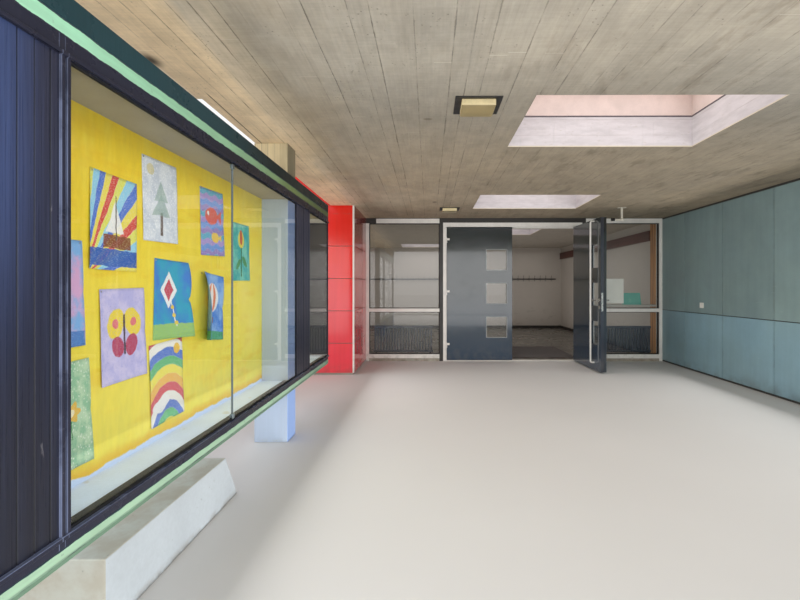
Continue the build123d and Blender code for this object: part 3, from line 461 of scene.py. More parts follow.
def block_finish():
    """Smooth pale concrete, tan on top and at the near end where soil washes over it, and brighter
    on top with painted light.
    """
    f = Finish("block_concrete")
    _, y, z = f.axes()
    low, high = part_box("concrete_block")
    cloud = f.noise(2.2, detail=6.0, rough=0.6)
    fine = f.noise(60.0, detail=4.0)
    pores = f.product(f.fade(f.cells(38.0), 0.08, 0.18),
                      f.ramp(f.noise(4.0, shift=5.0), 0.52, 0.62))
    base = f.tone("c2cad0", f.vary(cloud, 0.92, 1.05), f.vary(fine, 0.97, 1.02))
    wash = f.most(f.ramp(z, high.z - 0.003, high.z - 0.001),
                  f.fade(y, low.y + 0.002, low.y + 0.005))
    soil = f.ramp(f.noise(7.0, detail=5.0, rough=0.65, shift=3.0), 0.35, 0.65)
    tan = f.mix(soil, "b8b7a6", "aba28b")
    # Painted light brightens the top.
    tan = f.tone(tan, f.ramp(z, high.z - 0.006, high.z - 0.002, 1.0, 1.45))
    base = f.over(base, tan, wash, 0.8)
    foot = f.product(f.fade(z, 0.0, 0.05), f.ramp(f.noise(11.0), 0.35, 0.6))
    base = f.over(base, "7a6a58", foot, 0.45)
    base = f.over(base, "7c7a74", pores, 0.4)
    height = f.less(f.plus(cloud, f.product(fine, 0.3)), f.product(pores, 0.8))
    return f.surface(base, 0.85, height, 0.002, 0.7)


def wall_finish(c):
    """Concrete walls with emulsion paint on the hall side."""
    f = Finish("wall_concrete")
    x, y, z = f.axes()
    grain = f.noise(1.0, (60, 60, 2.2), detail=4.0)
    blotch = f.noise(2.4, detail=6.0, rough=0.6)
    base = f.tone(c.concrete, f.vary(grain, 0.92, 1.06), f.vary(blotch, 0.86, 1.1))
    inner = f.product(f.between(x, HALL_LOW.x - 0.004, HALL_HIGH.x + 0.004),
                      f.between(y, HALL_LOW.y - 0.004, HALL_HIGH.y + 0.004))
    roller = f.noise(160.0, detail=2.0)
    scuff = f.product(f.ramp(f.noise(5.0, (1, 1, 2.4), detail=5.0), 0.56, 0.7),
                      f.fade(z, 0.15, 1.3))
    paint = f.tone(c.hall_wall, f.vary(f.noise(0.9, detail=3.0), 0.95, 1.03))
    paint = f.over(paint, "6d645a", scuff, 0.25)
    base = f.mix(inner, base, paint)
    # Painted shade: the wall face in the gap behind the panels' end is darkened.
    painted_cavity_shade = f.product(f.between(x, PANEL_HIGH.x - 0.004, PANEL_HIGH.x + 0.004),
                       f.fade(y, PANEL_HIGH.y - 0.001, PANEL_HIGH.y))
    base = f.over(base, "23282a", painted_cavity_shade, 0.9)
    height = f.plus(f.product(roller, 0.2), f.product(grain, 0.3))
    return f.surface(base, 0.75, height, 0.002, 0.6)


def column_finish(c):
    """Pale blue paint up to the top of the case, raw concrete above."""
    f = Finish("column_paint")
    x, y, z = f.axes()
    board, edge = f.courses(f.plus(x, y), 0.052)
    seam = f.product(f.fade(edge, 0.0005, 0.0026), f.ramp(f.noise(2.0), 0.36, 0.6))
    grain = f.noise(1.0, (70, 70, 2.0), detail=4.0)
    raw = f.tone("c4b694", f.spread(f.random(board), 0.88, 1.08), f.vary(grain, 0.92, 1.06),
                 f.vary(f.noise(3.0, detail=5.0), 0.86, 1.1))
    raw = f.over(raw, "4f4638", seam, 0.55)
    paint = f.tone(c.column, f.vary(f.noise(2.4, (1, 1, 0.5), detail=5.0), 0.92, 1.03),
                   f.vary(grain, 0.97, 1.02))
    chips = f.product(f.ramp(f.noise(30.0, detail=4.0), 0.66, 0.70), f.ramp(z, 0.0, 0.7, 1.0, 0.2))
    paint = f.over(paint, "9d978b", chips, 0.6)
    dirt = f.product(f.fade(z, 0.0, 0.05), f.ramp(f.noise(14.0), 0.35, 0.6))
    paint = f.over(paint, "8c8678", dirt, 0.25)
    # Painted light by face: the +X face gets a bluer copy of the paint and the front face a greyer
    # one, partly worn paint; the raw concrete above is painted lighter on the front and darker on
    # the +X face.
    side = f.ramp(x, -2.066, -2.0635)
    paint = f.mix(f.ramp(side, 0.0, 1.0, 0.35, 0.0), paint, "c4c8bf")
    paint = f.over(paint, "8fb2f4", side, 0.7)
    raw = f.tone(raw, f.ramp(side, 0.0, 1.0, 1.35, 0.42))
    edge_line = f.plus(z, f.spread(f.noise(18.0), -0.006, 0.006))
    above = f.ramp(edge_line, CASE_HIGH.z + 0.137, CASE_HIGH.z + 0.141)
    base = f.mix(above, paint, raw)
    height = f.less(f.product(grain, 0.5), f.product(seam, 0.8))
    rough = f.mix(above, (0.55, 0.55, 0.55), (0.88, 0.88, 0.88))
    return f.surface(base, rough, height, 0.002, 0.7)


def felt_finish(c):
    """Mineral felt laid in lengths a metre wide, with green in the damp parts."""
    f = Finish("roofing_felt")
    x, y, _ = f.axes()
    strip, edge = f.courses(f.plus(x, 0.45), 1.0)
    run, end = f.courses(f.plus(y, f.product(f.random(strip), 5.0)), 5.0)
    lap = f.most(f.fade(edge, 0.0, 0.012), f.fade(end, 0.0, 0.012))
    granules = f.noise(420.0, detail=2.0, rough=0.8)
    wear = f.noise(1.4, detail=6.0, rough=0.65)
    moss = f.ramp(f.noise(0.8, detail=6.0, rough=0.7, shift=3.0), 0.55, 0.72)
    base = f.tone(c.felt, f.spread(f.random(strip, run), 0.90, 1.08), f.vary(granules, 0.72, 1.22),
                  f.vary(wear, 0.84, 1.12))
    base = f.over(base, "6c6f49", moss, 0.35)
    base = f.over(base, "33322f", lap, 0.7)
    height = f.less(f.product(granules, 0.3), f.product(lap, 0.8))
    return f.surface(base, 0.93, height, 0.003, 0.8)


def opal_finish(c, name, share):
    """Opal sheet that lets part of the light through."""
    f = Finish(name)
    dust = f.noise(5.0, detail=5.0, rough=0.6)
    z = f.axes()[2]
    base = f.tone(c.opal, f.vary(dust, 0.94, 1.02), f.ramp(f.noise(60.0, detail=3.0), 0.35, 0.7,
                                                           0.985, 1.01))
    grime = f.product(f.fade(z, CURB_HIGH.z + 0.02, CURB_HIGH.z + 0.09),
                      f.ramp(f.noise(9.0, detail=4.0), 0.45, 0.68))
    base = f.over(base, "a89c8c", grime, 0.08)
    skin = f.coat(Base_Color=base, Roughness=0.28, IOR=1.49,
                  Normal=f.bump(f.noise(14.0, detail=2.0), 0.0008, 0.5))
    through = f.add("BsdfTranslucent", base)
    return f.done(f.add("MixShader", share, skin, through))


def enamel_panel(c):
    """Painted sheet: one tone for each panel, faint streaks, dirt at foot and joints."""
    f = Finish("blue_grey_panel")
    x, y, z = f.axes()
    column, edge = f.courses(f.less(f.plus(y, 0.005), PANEL_LOW.y), PANEL_PITCH)
    row = f.ramp(z, 0.899, 0.901)
    side = f.calc("FLOOR", f.calc("DIVIDE", f.plus(x, 0.8), PANEL_PITCH))
    tone = f.random(column, row, side)
    streaks = f.noise(1.0, (11, 11, 0.8), detail=5.0, rough=0.6)
    mottle = f.noise(2.2, detail=6.0, rough=0.65, shift=1.0)
    fine = f.noise(120.0, detail=2.0)
    base = f.mix(row, c.blue_grey_low, c.blue_grey)
    base = f.tone(base, f.spread(tone, 0.94, 1.06), f.vary(streaks, 0.955, 1.035),
                  f.vary(mottle, 0.92, 1.06), f.vary(fine, 0.985, 1.015))
    warm = f.ramp(f.noise(0.7, detail=3.0, shift=6.0), 0.45, 0.7)
    base = f.over(base, "8fa39a", warm, 0.20)
    joints = f.product(f.fade(edge, 0.0, 0.03), f.ramp(f.noise(8.0), 0.4, 0.7))
    foot = f.product(f.fade(z, 0.02, 0.22), f.ramp(f.noise(6.0, detail=5.0), 0.35, 0.65))
    dirt = f.most(f.product(joints, 0.22), f.product(foot, 0.35))
    base = f.mix(dirt, base, "5d5a50")
    scratch = f.product(f.ramp(f.noise(1.0, (3, 3, 90), detail=2.0, shift=8.0), 0.72, 0.76),
                        f.between(z, 0.4, 1.5, 0.1))
    base = f.over(base, "c2cdd0", scratch, 0.18)
    rough = f.vary(mottle, 0.30, 0.44)
    wave = f.noise(1.6, (1, 1, 0.6), detail=1.0, shift=2.0)
    return f.surface(base, rough, f.plus(wave, f.product(fine, 0.02)), 0.004, 0.5)


def red_finish(c):
    """Gloss panels, pinker at the foot with a painted reflection of the pale ground, each in its
    own tone.
    """
    f = Finish("red_gloss_panel")
    x, y, z = f.axes()
    row, edge = f.courses(f.less(z, RED_START), RED_PITCH)
    tone = f.random(row, f.ramp(x, -2.77, -2.76), f.ramp(y, -0.69, -0.68))
    # Painted reflection: the red turns pink towards the foot, as if it mirrored the pale ground.
    fade = f.plus(f.ramp(z, 0.1, 1.9, 0.75, 0.0, False),
                  f.vary(f.noise(1.3, detail=4.0), -0.12, 0.12))
    fade = f.most(fade, 0.0)
    base = f.mix(fade, c.red, c.red_foot_reflection)
    streaks = f.noise(1.0, (14, 14, 0.7), detail=4.0)
    base = f.tone(base, f.spread(tone, 0.93, 1.05), f.vary(streaks, 0.95, 1.03))
    dust = f.product(f.fade(z, 0.03, 0.2), f.ramp(f.noise(7.0, detail=5.0), 0.35, 0.65))
    joints = f.product(f.fade(edge, 0.0, 0.02), f.ramp(f.noise(12.0), 0.4, 0.7))
    base = f.mix(f.most(f.product(dust, 0.40), f.product(joints, 0.2)), base, "7d5a50")
    rough = f.vary(f.noise(3.0, detail=4.0), 0.10, 0.22)
    wave = f.noise(1.8, detail=1.0)
    # Painted shade: the wing's side face darkens towards the top, under the roof.
    painted_flank_shade = f.product(f.ramp(x, WING_HIGH.x - 0.004, WING_HIGH.x - 0.002), f.ramp(z, 1.5, 2.45))
    base = f.tone(base, f.ramp(painted_flank_shade, 0.0, 1.0, 1.0, 0.3))
    return f.surface(base, rough, wave, 0.003, 0.5, IOR=1.36, Coat_Weight=0.35, Coat_Roughness=0.08)


def steel_paint(name, paint, rough=0.38, grime=0.3, wear="5a5650", painted_highlights=(), painted_reveal_shade=None,
                painted_light_ramp=None, gloss=1.5):
    """Brushed gloss paint on steel: soft brush marks, grime in the low parts, chips.

    Painted highlights are pale lines at (axis, low, high) where the light glints, a span (low,
    high) in Y gets painted shade in a reveal, and (start, end, level) gives painted shade along Y.
    """
    f = Finish(name)
    _, y, z = f.axes()
    brush = f.noise(1.0, (160, 160, 7), detail=3.0)
    cloud = f.noise(4.0, detail=5.0, rough=0.6)
    base = f.tone(paint, f.vary(brush, 0.965, 1.03), f.vary(cloud, 0.93, 1.05))
    low = f.product(f.ramp(z, 0.0, 0.35, 1.0, 0.15), f.ramp(f.noise(11.0, detail=5.0), 0.45, 0.72))
    base = f.over(base, "5c5244", low, grime)
    chips = f.ramp(f.noise(70.0, detail=4.0, shift=4.0), 0.70, 0.73)
    base = f.over(base, wear, chips, 0.45)
    # Painted highlights: pale lines where the light glints.
    for axis, start, end in painted_highlights:
        line = f.product(f.between(f.axes()[axis], start, end), f.ramp(cloud, 0.35, 0.6, 0.2, 0.8))
        base = f.mix(line, base, "7d88a8")
    # Painted shade in the reveal.
    if painted_reveal_shade:
        base = f.over(base, "2f2a26", f.between(y, *painted_reveal_shade), 0.85)
    # Painted shade that darkens the paint along Y.
    if painted_light_ramp:
        base = f.tone(base, f.ramp(y, painted_light_ramp[0], painted_light_ramp[1], 1.0, painted_light_ramp[2]))
    roughness = f.vary(cloud, rough - 0.06, rough + 0.08)
    return f.surface(base, roughness, f.plus(brush, f.product(cloud, 0.6)), 0.0006, 0.6, IOR=gloss)


def leaf_finish(c, name, outward, outer, gloss=1.5):
    """Gloss lacquer with a slight orange peel, fingers and dust: a dark facing on a slate core."""
    f = Finish(name)
    x, y, z = f.axes()
    depth = f.less(outer, f.plus(f.product(x, outward[0]), f.product(y, outward[1])))
    peel = f.noise(55.0, detail=2.0)
    cloud = f.noise(2.4, detail=5.0, rough=0.6)
    base = f.tone(c.leaf, f.vary(cloud, 0.90, 1.08), f.vary(peel, 0.98, 1.02))
    # Painted reflection: the lacquer turns bluer towards the bottom.
    base = f.mix(f.ramp(z, 0.1, 1.3, 0.85, 0.0, False), base, "34475c")
    edge = f.between(depth, FACING + 0.003, LEAF_DEPTH - 0.001)
    base = f.over(base, "2c2f38", edge, 0.9)
    facing = f.fade(depth, FACING, FACING + 0.002)
    base = f.over(base, "1c1e20", facing, f.ramp(depth, 0.0005, 0.0015), 0.7)
    dust = f.product(f.fade(z, 0.02, 0.35), f.ramp(f.noise(8.0, detail=5.0), 0.35, 0.65))
    base = f.over(base, "6a6a66", dust, 0.3)
    touch = f.product(f.between(z, 0.85, 1.5, 0.15), f.ramp(f.noise(9.0, detail=4.0), 0.5, 0.66))
    rough = f.plus(f.vary(cloud, 0.07, 0.15), f.product(touch, 0.12))
    return f.surface(base, rough, peel, 0.0002, 0.4, IOR=gloss, Coat_Weight=0.5,
                     Coat_Roughness=0.04)


def glass_finish(name, bend=1.5):
    """Clear glass that lets lamps through, with faint smears."""
    f = Finish(name)
    smears = f.noise(3.0, (1, 1, 2.2), detail=5.0, rough=0.6)
    rough = f.ramp(smears, 0.45, 0.75, 0.0, 0.02)
    tint = linear("fafcfb")
    pane = f.coat(Base_Color=tint, Roughness=rough, IOR=bend, Transmission_Weight=1.0)
    clear = f.add("BsdfTransparent", tint)
    shadow = f.add("LightPath", out=1)
    return f.done(f.add("MixShader", shadow, pane, clear))


def yellow_finish(c):
    """Poster paint brushed on the board in short strokes, dark on the outer side."""
    f = Finish("yellow_board")
    x, y, z = f.axes()
    strokes = f.noise(1.0, (1, 9, 2.2), detail=6.0, rough=0.65)
    cross = f.noise(1.0, (1, 3.2, 14), detail=4.0, shift=3.0)
    thin = f.noise(1.5, detail=4.0, shift=7.0)
    # Painted reflection: a pale veil makes the yellow paler towards the bottom and the back.
    painted_light_ramp = f.plus(f.ramp(z, 0.7, 1.9, 0.75, 0.0, False), f.ramp(y, -6.0, -3.4, 0.0, 0.45, False))
    base = f.mix(painted_light_ramp, c.yellow, "f0e458")
    base = f.over(base, "f9e24a", f.ramp(strokes, 0.38, 0.66), 0.55)
    base = f.over(base, "eebd00", f.ramp(cross, 0.5, 0.7), 0.4)
    base = f.over(base, "f8ea86", f.ramp(thin, 0.5, 0.72), 0.4)
    # Painted shade under the case ceiling darkens the top.
    base = f.tone(base, f.ramp(z, 1.82, 2.02, 1.0, 0.78))
    base = f.tone(base, f.vary(f.noise(40.0, (1, 1, 0.3), detail=3.0), 0.96, 1.03))
    wavy = f.plus(z, f.ramp(f.noise(7.0, detail=4.0), 0.2, 0.8, -0.02, 0.02, False))
    rim = f.ramp(wavy, CASE_LOW.z + 0.075, CASE_LOW.z + 0.13, 0.7, 0.0)
    base = f.mix(rim, base, "eeb40c")
    bare = f.fade(wavy, CASE_LOW.z + 0.062, CASE_LOW.z + 0.070)
    base = f.mix(bare, base, c.case_white)
    base = f.mix(f.fade(x, BOARD_LOW.x + 0.004, BOARD_LOW.x + 0.006), base, c.case_dark)
    height = f.plus(f.product(strokes, 0.5), f.product(cross, 0.5))
    return f.surface(base, 0.55, height, 0.0012, 0.7)


def board_paint(name, paint, speck, rough=0.6):
    """Matt paint on a flat board with marks and dust."""
    f = Finish(name)
    cloud = f.noise(2.7, detail=5.0, rough=0.6)
    fine = f.noise(90.0, detail=3.0)
    base = f.tone(paint, f.vary(cloud, 0.92, 1.05), f.vary(fine, 0.97, 1.02))
    spots = f.ramp(f.noise(9.0, detail=4.0, shift=5.0), 0.66, 0.72)
    base = f.over(base, speck, spots, 0.30)
    return f.surface(base, rough, fine, 0.0006, 0.5)


def lamp_finish(c):
    """Opal plastic gone yellow, pale on its upright faces and darkened underneath with painted
    shade.
    """
    f = Finish("lamp_cover")
    z = f.axes()[2]
    cloud = f.noise(14.0, detail=4.0)
    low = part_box("lamp_covers")[1].z - 0.044
    # Painted shade: a darker olive on the underside.
    base = f.mix(f.ramp(z, low + 0.0015, low + 0.006), "8a7a55", c.lamp_cover)
    base = f.tone(base, f.vary(cloud, 0.90, 1.06), f.vary(f.noise(90.0), 0.97, 1.03))
    return f.surface(base, f.vary(cloud, 0.3, 0.42), cloud, 0.0004, 0.4)


def dark_timber(c):
    """Dark stain on tongued boards: upright grain that wears to brown."""
    f = Finish("dark_boards")
    _, y, z = f.axes()
    board, joint = f.courses(f.less(y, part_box("case_boards")[0].y), NEAR_PITCH)
    _, second = f.courses(f.less(y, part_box("case_boards")[1].y), FAR_PITCH)
    far = f.ramp(y, -4.6, -4.5)
    joint = f.plus(f.product(joint, f.less(1.0, far)), f.product(second, far))
    grain = f.noise(1.0, (200, 200, 3.2), detail=4.0, rough=0.6)
    wide = f.noise(1.0, (26, 26, 0.9), detail=4.0, shift=3.0)
    base = f.mix(f.ramp(wide, 0.42, 0.7), c.case_dark, "33374c")
    # Painted reflection of the sky: a blue tint high on the near boards.
    base = f.over(base, "40507c", f.ramp(z, 0.9, 1.8), f.ramp(y, -6.16, -5.98, 0.85, 0.0))
    base = f.tone(base, f.spread(f.random(board), 0.82, 1.16), f.ramp(z, 0.5, 1.6, 0.55, 1.15),
                  f.vary(grain, 0.84, 1.14), f.ramp(joint, 0.0010, 0.0040, 0.3, 1.0))
    worn = f.ramp(f.noise(28.0, (1, 1, 0.3), detail=5.0), 0.68, 0.73)
    base = f.over(base, "8d8a90", worn, 0.35)
    rough = f.vary(grain, 0.26, 0.42)
    height = f.plus(f.product(grain, 0.5), f.product(wide, 0.4))
    return f.surface(base, rough, height, 0.0009, 0.7, IOR=1.32)


def brushed_strip(name, paint, below, above, spans):
    """Paint brushed by hand along a strip: its edges waver over the paints beside it.

    The upper strip turns olive towards the back with a painted reflection, painted shade
    darkens both strips at the far end, and the lower one is bleached.
    """
    f = Finish(name)
    _, y, z = f.axes()
    wander = f.plus(f.ramp(f.noise(16.0, detail=4.0), 0.25, 0.75, -0.003, 0.003, False),
                    f.ramp(f.noise(2.5, detail=2.0, shift=2.0), 0.25, 0.75, -0.002, 0.002, False))
    wavy = f.plus(z, wander)
    brush = f.noise(1.0, (60, 3, 60), detail=4.0)
    upper = f.ramp(z, 1.2, 1.3)
    # Painted reflection: the upper strip turns olive towards the back.
    base = f.over(paint, "748a55", upper, f.ramp(y, -5.9, -3.6, 0.0, 1.0, False))
    base = f.mix(f.less(1.0, upper), base, "a8cdae")
    # Painted shade: a darker mint band at the foot of the lower strip.
    base = f.mix(f.ramp(z, 0.436, 0.440, 0.7, 0.0), base, "6f9078")
    # Painted shade darkens both strips towards the far end.
    base = f.tone(base, f.vary(brush, 0.93, 1.05), f.ramp(y, -3.8, -2.6, 1.0, 0.55),
                  f.vary(f.noise(3.0, detail=5.0), 0.90, 1.06))
    drip = f.ramp(f.noise(26.0, detail=4.0, shift=6.0), 0.66, 0.73)
    base = f.over(base, "566055", drip, 0.4)
    for low, high in spans:
        base = f.mix(f.between(wavy, high, high + 0.05, 0.0006), base, above)
        base = f.mix(f.between(wavy, low - 0.05, low, 0.0006), base, below)
    return f.surface(base, 0.42, brush, 0.0008, 0.6)


def timber_finish(name, paint, dark, vertical=True, rough=0.4):
    """Varnished wood with grain along its length."""
    f = Finish(name)
    stretch = (22, 22, 0.9) if vertical else (22, 0.9, 22)
    rings = f.noise(1.0, stretch, detail=5.0, rough=0.6)
    fine = f.noise(1.0, tuple(8 * s for s in stretch), detail=3.0)
    base = f.mix(f.ramp(rings, 0.38, 0.66), paint, dark)
    base = f.tone(base, f.vary(fine, 0.90, 1.08))
    return f.surface(base, rough, fine, 0.0006, 0.5)


def floor_finish(c):
    """Polished hall floor of small chips in a grey-brown ground."""
    f = Finish("hall_floor_tiles")
    x, y, _ = f.axes()
    chips = f.cells(70.0)
    _, joint_x = f.courses(x, 0.6)
    _, joint_y = f.courses(y, 0.6)
    joint = f.fade(f.calc("MINIMUM", joint_x, joint_y), 0.0008, 0.003)
    base = f.mix(f.ramp(chips, 0.2, 0.6), "756d63", c.hall_floor)
    base = f.tone(base, f.vary(f.noise(1.4, detail=5.0), 0.92, 1.06))
    base = f.over(base, "5d564e", joint, 0.3)
    rough = f.vary(f.noise(3.0, detail=4.0), 0.22, 0.40)
    return f.surface(base, rough, f.product(joint, -1.0), 0.001, 0.5)


def fibre_finish(name, paint):
    """Coarse pile of the entrance mat."""
    f = Finish(name)
    pile = f.noise(340.0, detail=3.0, rough=0.8)
    tread = f.noise(2.0, detail=5.0, rough=0.65)
    base = f.tone(paint, f.vary(pile, 0.70, 1.25), f.vary(tread, 0.85, 1.15))
    dust = f.ramp(f.noise(30.0, detail=5.0, shift=3.0), 0.60, 0.70)
    base = f.over(base, "8a8074", dust, 0.25)
    return f.surface(base, 0.95, pile, 0.002, 0.8, Sheen_Weight=0.3)


def metal_finish(name, paint, rough=0.28):
    """Satin metal with fine brushing."""
    f = Finish(name)
    brush = f.noise(1.0, (30, 30, 400), detail=3.0)
    cloud = f.noise(20.0, detail=4.0)
    base = f.tone(paint, f.vary(brush, 0.94, 1.04), f.vary(cloud, 0.95, 1.03))
    return f.surface(base, f.vary(cloud, rough - 0.05, rough + 0.08), brush, 0.0002, 0.5,
                     Metallic=1.0)


def rubber_finish(name="black_rubber", paint="1b1b1c"):
    """Matt rubber, greyed where it is knocked."""
    f = Finish(name)
    fine = f.noise(220.0, detail=3.0)
    base = f.tone(paint, f.vary(fine, 0.85, 1.2))
    rub = f.ramp(f.noise(40.0, detail=4.0), 0.58, 0.70)
    base = f.over(base, "4a4948", rub, 0.4)
    return f.surface(base, 0.72, fine, 0.0005, 0.6)


def plastic_finish(name, paint, dirt, rough):
    """Moulded plastic that has yellowed and gathered dust."""
    f = Finish(name)
    cloud = f.noise(14.0, detail=5.0, rough=0.6)
    base = f.tone(paint, f.vary(cloud, 0.94, 1.04))
    dust = f.ramp(f.noise(34.0, detail=5.0, shift=4.0), 0.56, 0.74)
    base = f.over(base, dirt, dust, 0.22)
    return f.surface(base, f.vary(cloud, rough, rough + 0.15), f.noise(180.0, detail=2.0), 0.0003,
                     0.5)


# ---------------------------------------------------------------- drawings on the sheets


class Drawing(Finish):
    """A child's drawing in crayon and wash, made of plain shapes on the sheet's own UV map."""

    def __init__(self, name):
        super().__init__(name)
        self.sheet = self.add("UVMap", options={"uv_map": "sheet"})
        sway = self.add("TexNoise", self.sheet, Scale=7.0, Detail=3.0, out=1)
        sway = self.add("VectorMath", sway, (0.5, 0.5, 0.5), options={"operation": "SUBTRACT"})
        sway = self.add("VectorMath", sway, options={"operation": "SCALE"}).node
        sway.inputs[3].default_value = 0.045
        self.kept["place"] = self.add("VectorMath", self.sheet, sway.outputs[0])
        self.shade = "f1eeea"

    def local(self, centre, size, turn=0.0):
        """Coordinates about a centre, where a size is 1."""
        return self.add("Mapping", self.place(), (*centre, 0), (0, 0, turn), (*size, 1.0),
                        options={"vector_type": "TEXTURE"})

    def split(self, local):
        return self.add("SeparateXYZ", local).node.outputs[:2]

    def far(self, local):
        return self.add("VectorMath", local, out=1, options={"operation": "LENGTH"})

    def lay(self, mask, tint, cover=1.0):
        """Crayon laid in slanting strokes."""
        lines = self.add("Mapping", self.sheet, (0, 0, 0), (0, 0, 0.6), (1.0, 7.0, 1.0))
        strokes = self.add("TexNoise", lines, Scale=24.0, Detail=4.0, Roughness=0.7)
        self.shade = self.over(self.shade, tint, mask, self.ramp(strokes, 0.34, 0.50, 0.35, 1.0),
                               cover)

    def disc(self, centre, size, tint, turn=0.0, petals=0, cover=1.0):
        """An ellipse or a blossom."""
        local = self.local(centre, size, turn)
        reach = self.far(local)
        if petals:
            x, y = self.split(local)
            wave = self.calc("COSINE", self.product(self.calc("ARCTAN2", y, x), petals))
            reach = self.less(reach, self.product(wave, 0.22))
        self.lay(self.fade(reach, 0.93, 1.05), tint, cover)

    def bar(self, centre, size, tint, turn=0.0, lean=0.0, cover=1.0):
        """A rectangle, or a gable where lean narrows it towards the top."""
        x, y = self.split(self.local(centre, size, turn))
        across = self.calc("ABSOLUTE", x)
        if lean:
            across = self.plus(across, self.product(self.plus(y, 1.0), lean / 2))
        self.lay(self.fade(self.most(across, self.calc("ABSOLUTE", y)), 0.95, 1.03), tint, cover)

    def bands(self, tints, centre, kind, count):
        """Waves, rings or rays in a cycle of colours over the whole sheet."""
        local = self.local(centre, (1, 1))
        x, y = self.split(local)
        if kind == "rings":
            value = self.far(local)
        elif kind == "rays":
            value = self.calc("DIVIDE", self.calc("ARCTAN2", y, x), math.tau)
        else:
            value = self.plus(y, self.product(self.calc("SINE", self.product(x, 17.0)), 0.02))
        step = self.calc("FLOORED_MODULO", self.product(value, count), float(len(tints)))
        for number, tint in enumerate(tints):
            self.lay(self.between(step, number, number + 1, 0.05), tint)

    def wash(self, low, high, scale=2.6):
        """Two watercolours that run into each other."""
        cloud = self.add("TexNoise", self.place(), Scale=scale, Detail=5.0, Roughness=0.6)
        self.shade = self.mix(self.ramp(cloud, 0.4, 0.6), low, high)

    def dots(self, tint, scale, size, cover=0.9):
        spots = self.add("TexVoronoi", self.place(), Scale=scale)
        self.lay(self.fade(spots, size - 0.06, size + 0.04), tint, cover)

    def crayoned(self):
        fibre = self.add("TexNoise", self.sheet, Scale=240.0, Detail=3.0)
        return self.surface(self.tone(self.shade, self.vary(fibre, 0.965, 1.02)), 0.78, fibre,
                            0.0003, 0.5)


def draw_sky(d):
    d.wash("7fb2e6", "d9a9d2")
    d.disc((0.62, 0.80), (0.16, 0.11), "f6d34a")
    d.disc((0.40, 0.46), (0.26, 0.07), "f4f1f4")
    d.bar((0.5, 0.05), (0.5, 0.10), "4f7fc4")


def draw_rays(d):
    d.bands(("d9402f", "f0dd4a", "3f6fd0", "8fd0ec", "e4e25a"), (-0.15, -0.12), "rays", 64.0)
    d.bar((0.56, 0.30), (0.30, 0.07), "8a4a2c")
    d.bar((0.50, 0.56), (0.20, 0.17), "f5f1ec", lean=1.0)
    d.bar((0.52, 0.55), (0.012, 0.24), "4a3a34")
    d.bar((0.5, 0.13), (0.52, 0.09), "2f5fb4")


def draw_snow(d):
    d.wash("dfe3ea", "c9d0dd", 4.0)
    d.dots("f8f8fb", 30.0, 0.30)
    d.dots("7d86a8", 44.0, 0.14)
    d.bar((0.50, 0.22), (0.035, 0.14), "6b5a52")
    d.bar((0.50, 0.45), (0.27, 0.13), "8aa79a", lean=0.95, cover=0.7)
    d.bar((0.50, 0.62), (0.21, 0.12), "8aa79a", lean=0.95, cover=0.7)
    d.disc((0.22, 0.86), (0.10, 0.07), "d8c77a", cover=0.7)


def draw_fish(d):
    d.bands(("8f7cc0", "5f8fd8", "a88fd0", "4fa8c8"), (0, 0), "waves", 12.0)
    d.disc((0.46, 0.60), (0.27, 0.13), "e2614a")
    d.bar((0.78, 0.60), (0.11, 0.11), "e2614a", turn=1.5708, lean=1.0)
    d.disc((0.32, 0.64), (0.04, 0.03), "f8f4ee")
    d.disc((0.60, 0.28), (0.16, 0.08), "f0c84a")
    d.bar((0.80, 0.28), (0.06, 0.07), "f0c84a", turn=1.5708, lean=1.0)


def draw_tulip(d):
    d.wash("3fa9a6", "79c9b4", 3.0)
    d.bar((0.5, 0.35), (0.03, 0.28), "2f6b3a")
    d.disc((0.32, 0.28), (0.16, 0.06), "3f8a44", 0.5)
    d.disc((0.68, 0.34), (0.16, 0.06), "3f8a44", -0.5)
    d.disc((0.5, 0.72), (0.17, 0.15), "e8d24a")
    d.disc((0.5, 0.76), (0.08, 0.13), "c9503c")


def draw_butterfly(d):
    d.wash("cfc6ea", "b9b4e4", 5.0)
    d.dots("8f8fd4", 34.0, 0.20, 0.7)
    d.disc((0.32, 0.63), (0.20, 0.15), "f0d52a", 0.4)
    d.disc((0.70, 0.63), (0.20, 0.15), "f0d52a", -0.4)
    d.disc((0.36, 0.38), (0.14, 0.11), "b83a58", -0.4)
    d.disc((0.66, 0.38), (0.14, 0.11), "b83a58", 0.4)
    d.disc((0.31, 0.63), (0.07, 0.05), "e2707e")
    d.disc((0.71, 0.63), (0.07, 0.05), "e2707e")
    d.bar((0.51, 0.50), (0.022, 0.22), "4a3742")


def draw_kite(d):
    d.wash("2fa4c4", "3f7fd0", 2.0)
    d.bar((0.5, 0.06), (0.55, 0.13), "9fc86a")
    d.bar((0.42, 0.62), (0.17, 0.17), "f4f2f0", turn=0.7854)
    d.bar((0.42, 0.62), (0.10, 0.10), "c8344e", turn=0.7854)
    d.bar((0.57, 0.33), (0.012, 0.20), "f4f2f0", turn=0.45)
    for x, y in ((0.53, 0.40), (0.58, 0.30), (0.64, 0.20)):
        d.disc((x, y), (0.045, 0.028), "e8c93a")


def draw_balloon(d):
    d.wash("4f86d8", "8fb6e6", 2.4)
    d.disc((0.50, 0.64), (0.27, 0.22), "f1efe9")
    d.disc((0.50, 0.64), (0.16, 0.22), "e27a4a")
    d.disc((0.50, 0.64), (0.06, 0.22), "f1efe9")
    d.bar((0.50, 0.30), (0.09, 0.045), "8a5a34")
    d.bar((0.5, 0.05), (0.5, 0.08), "4aa06a")


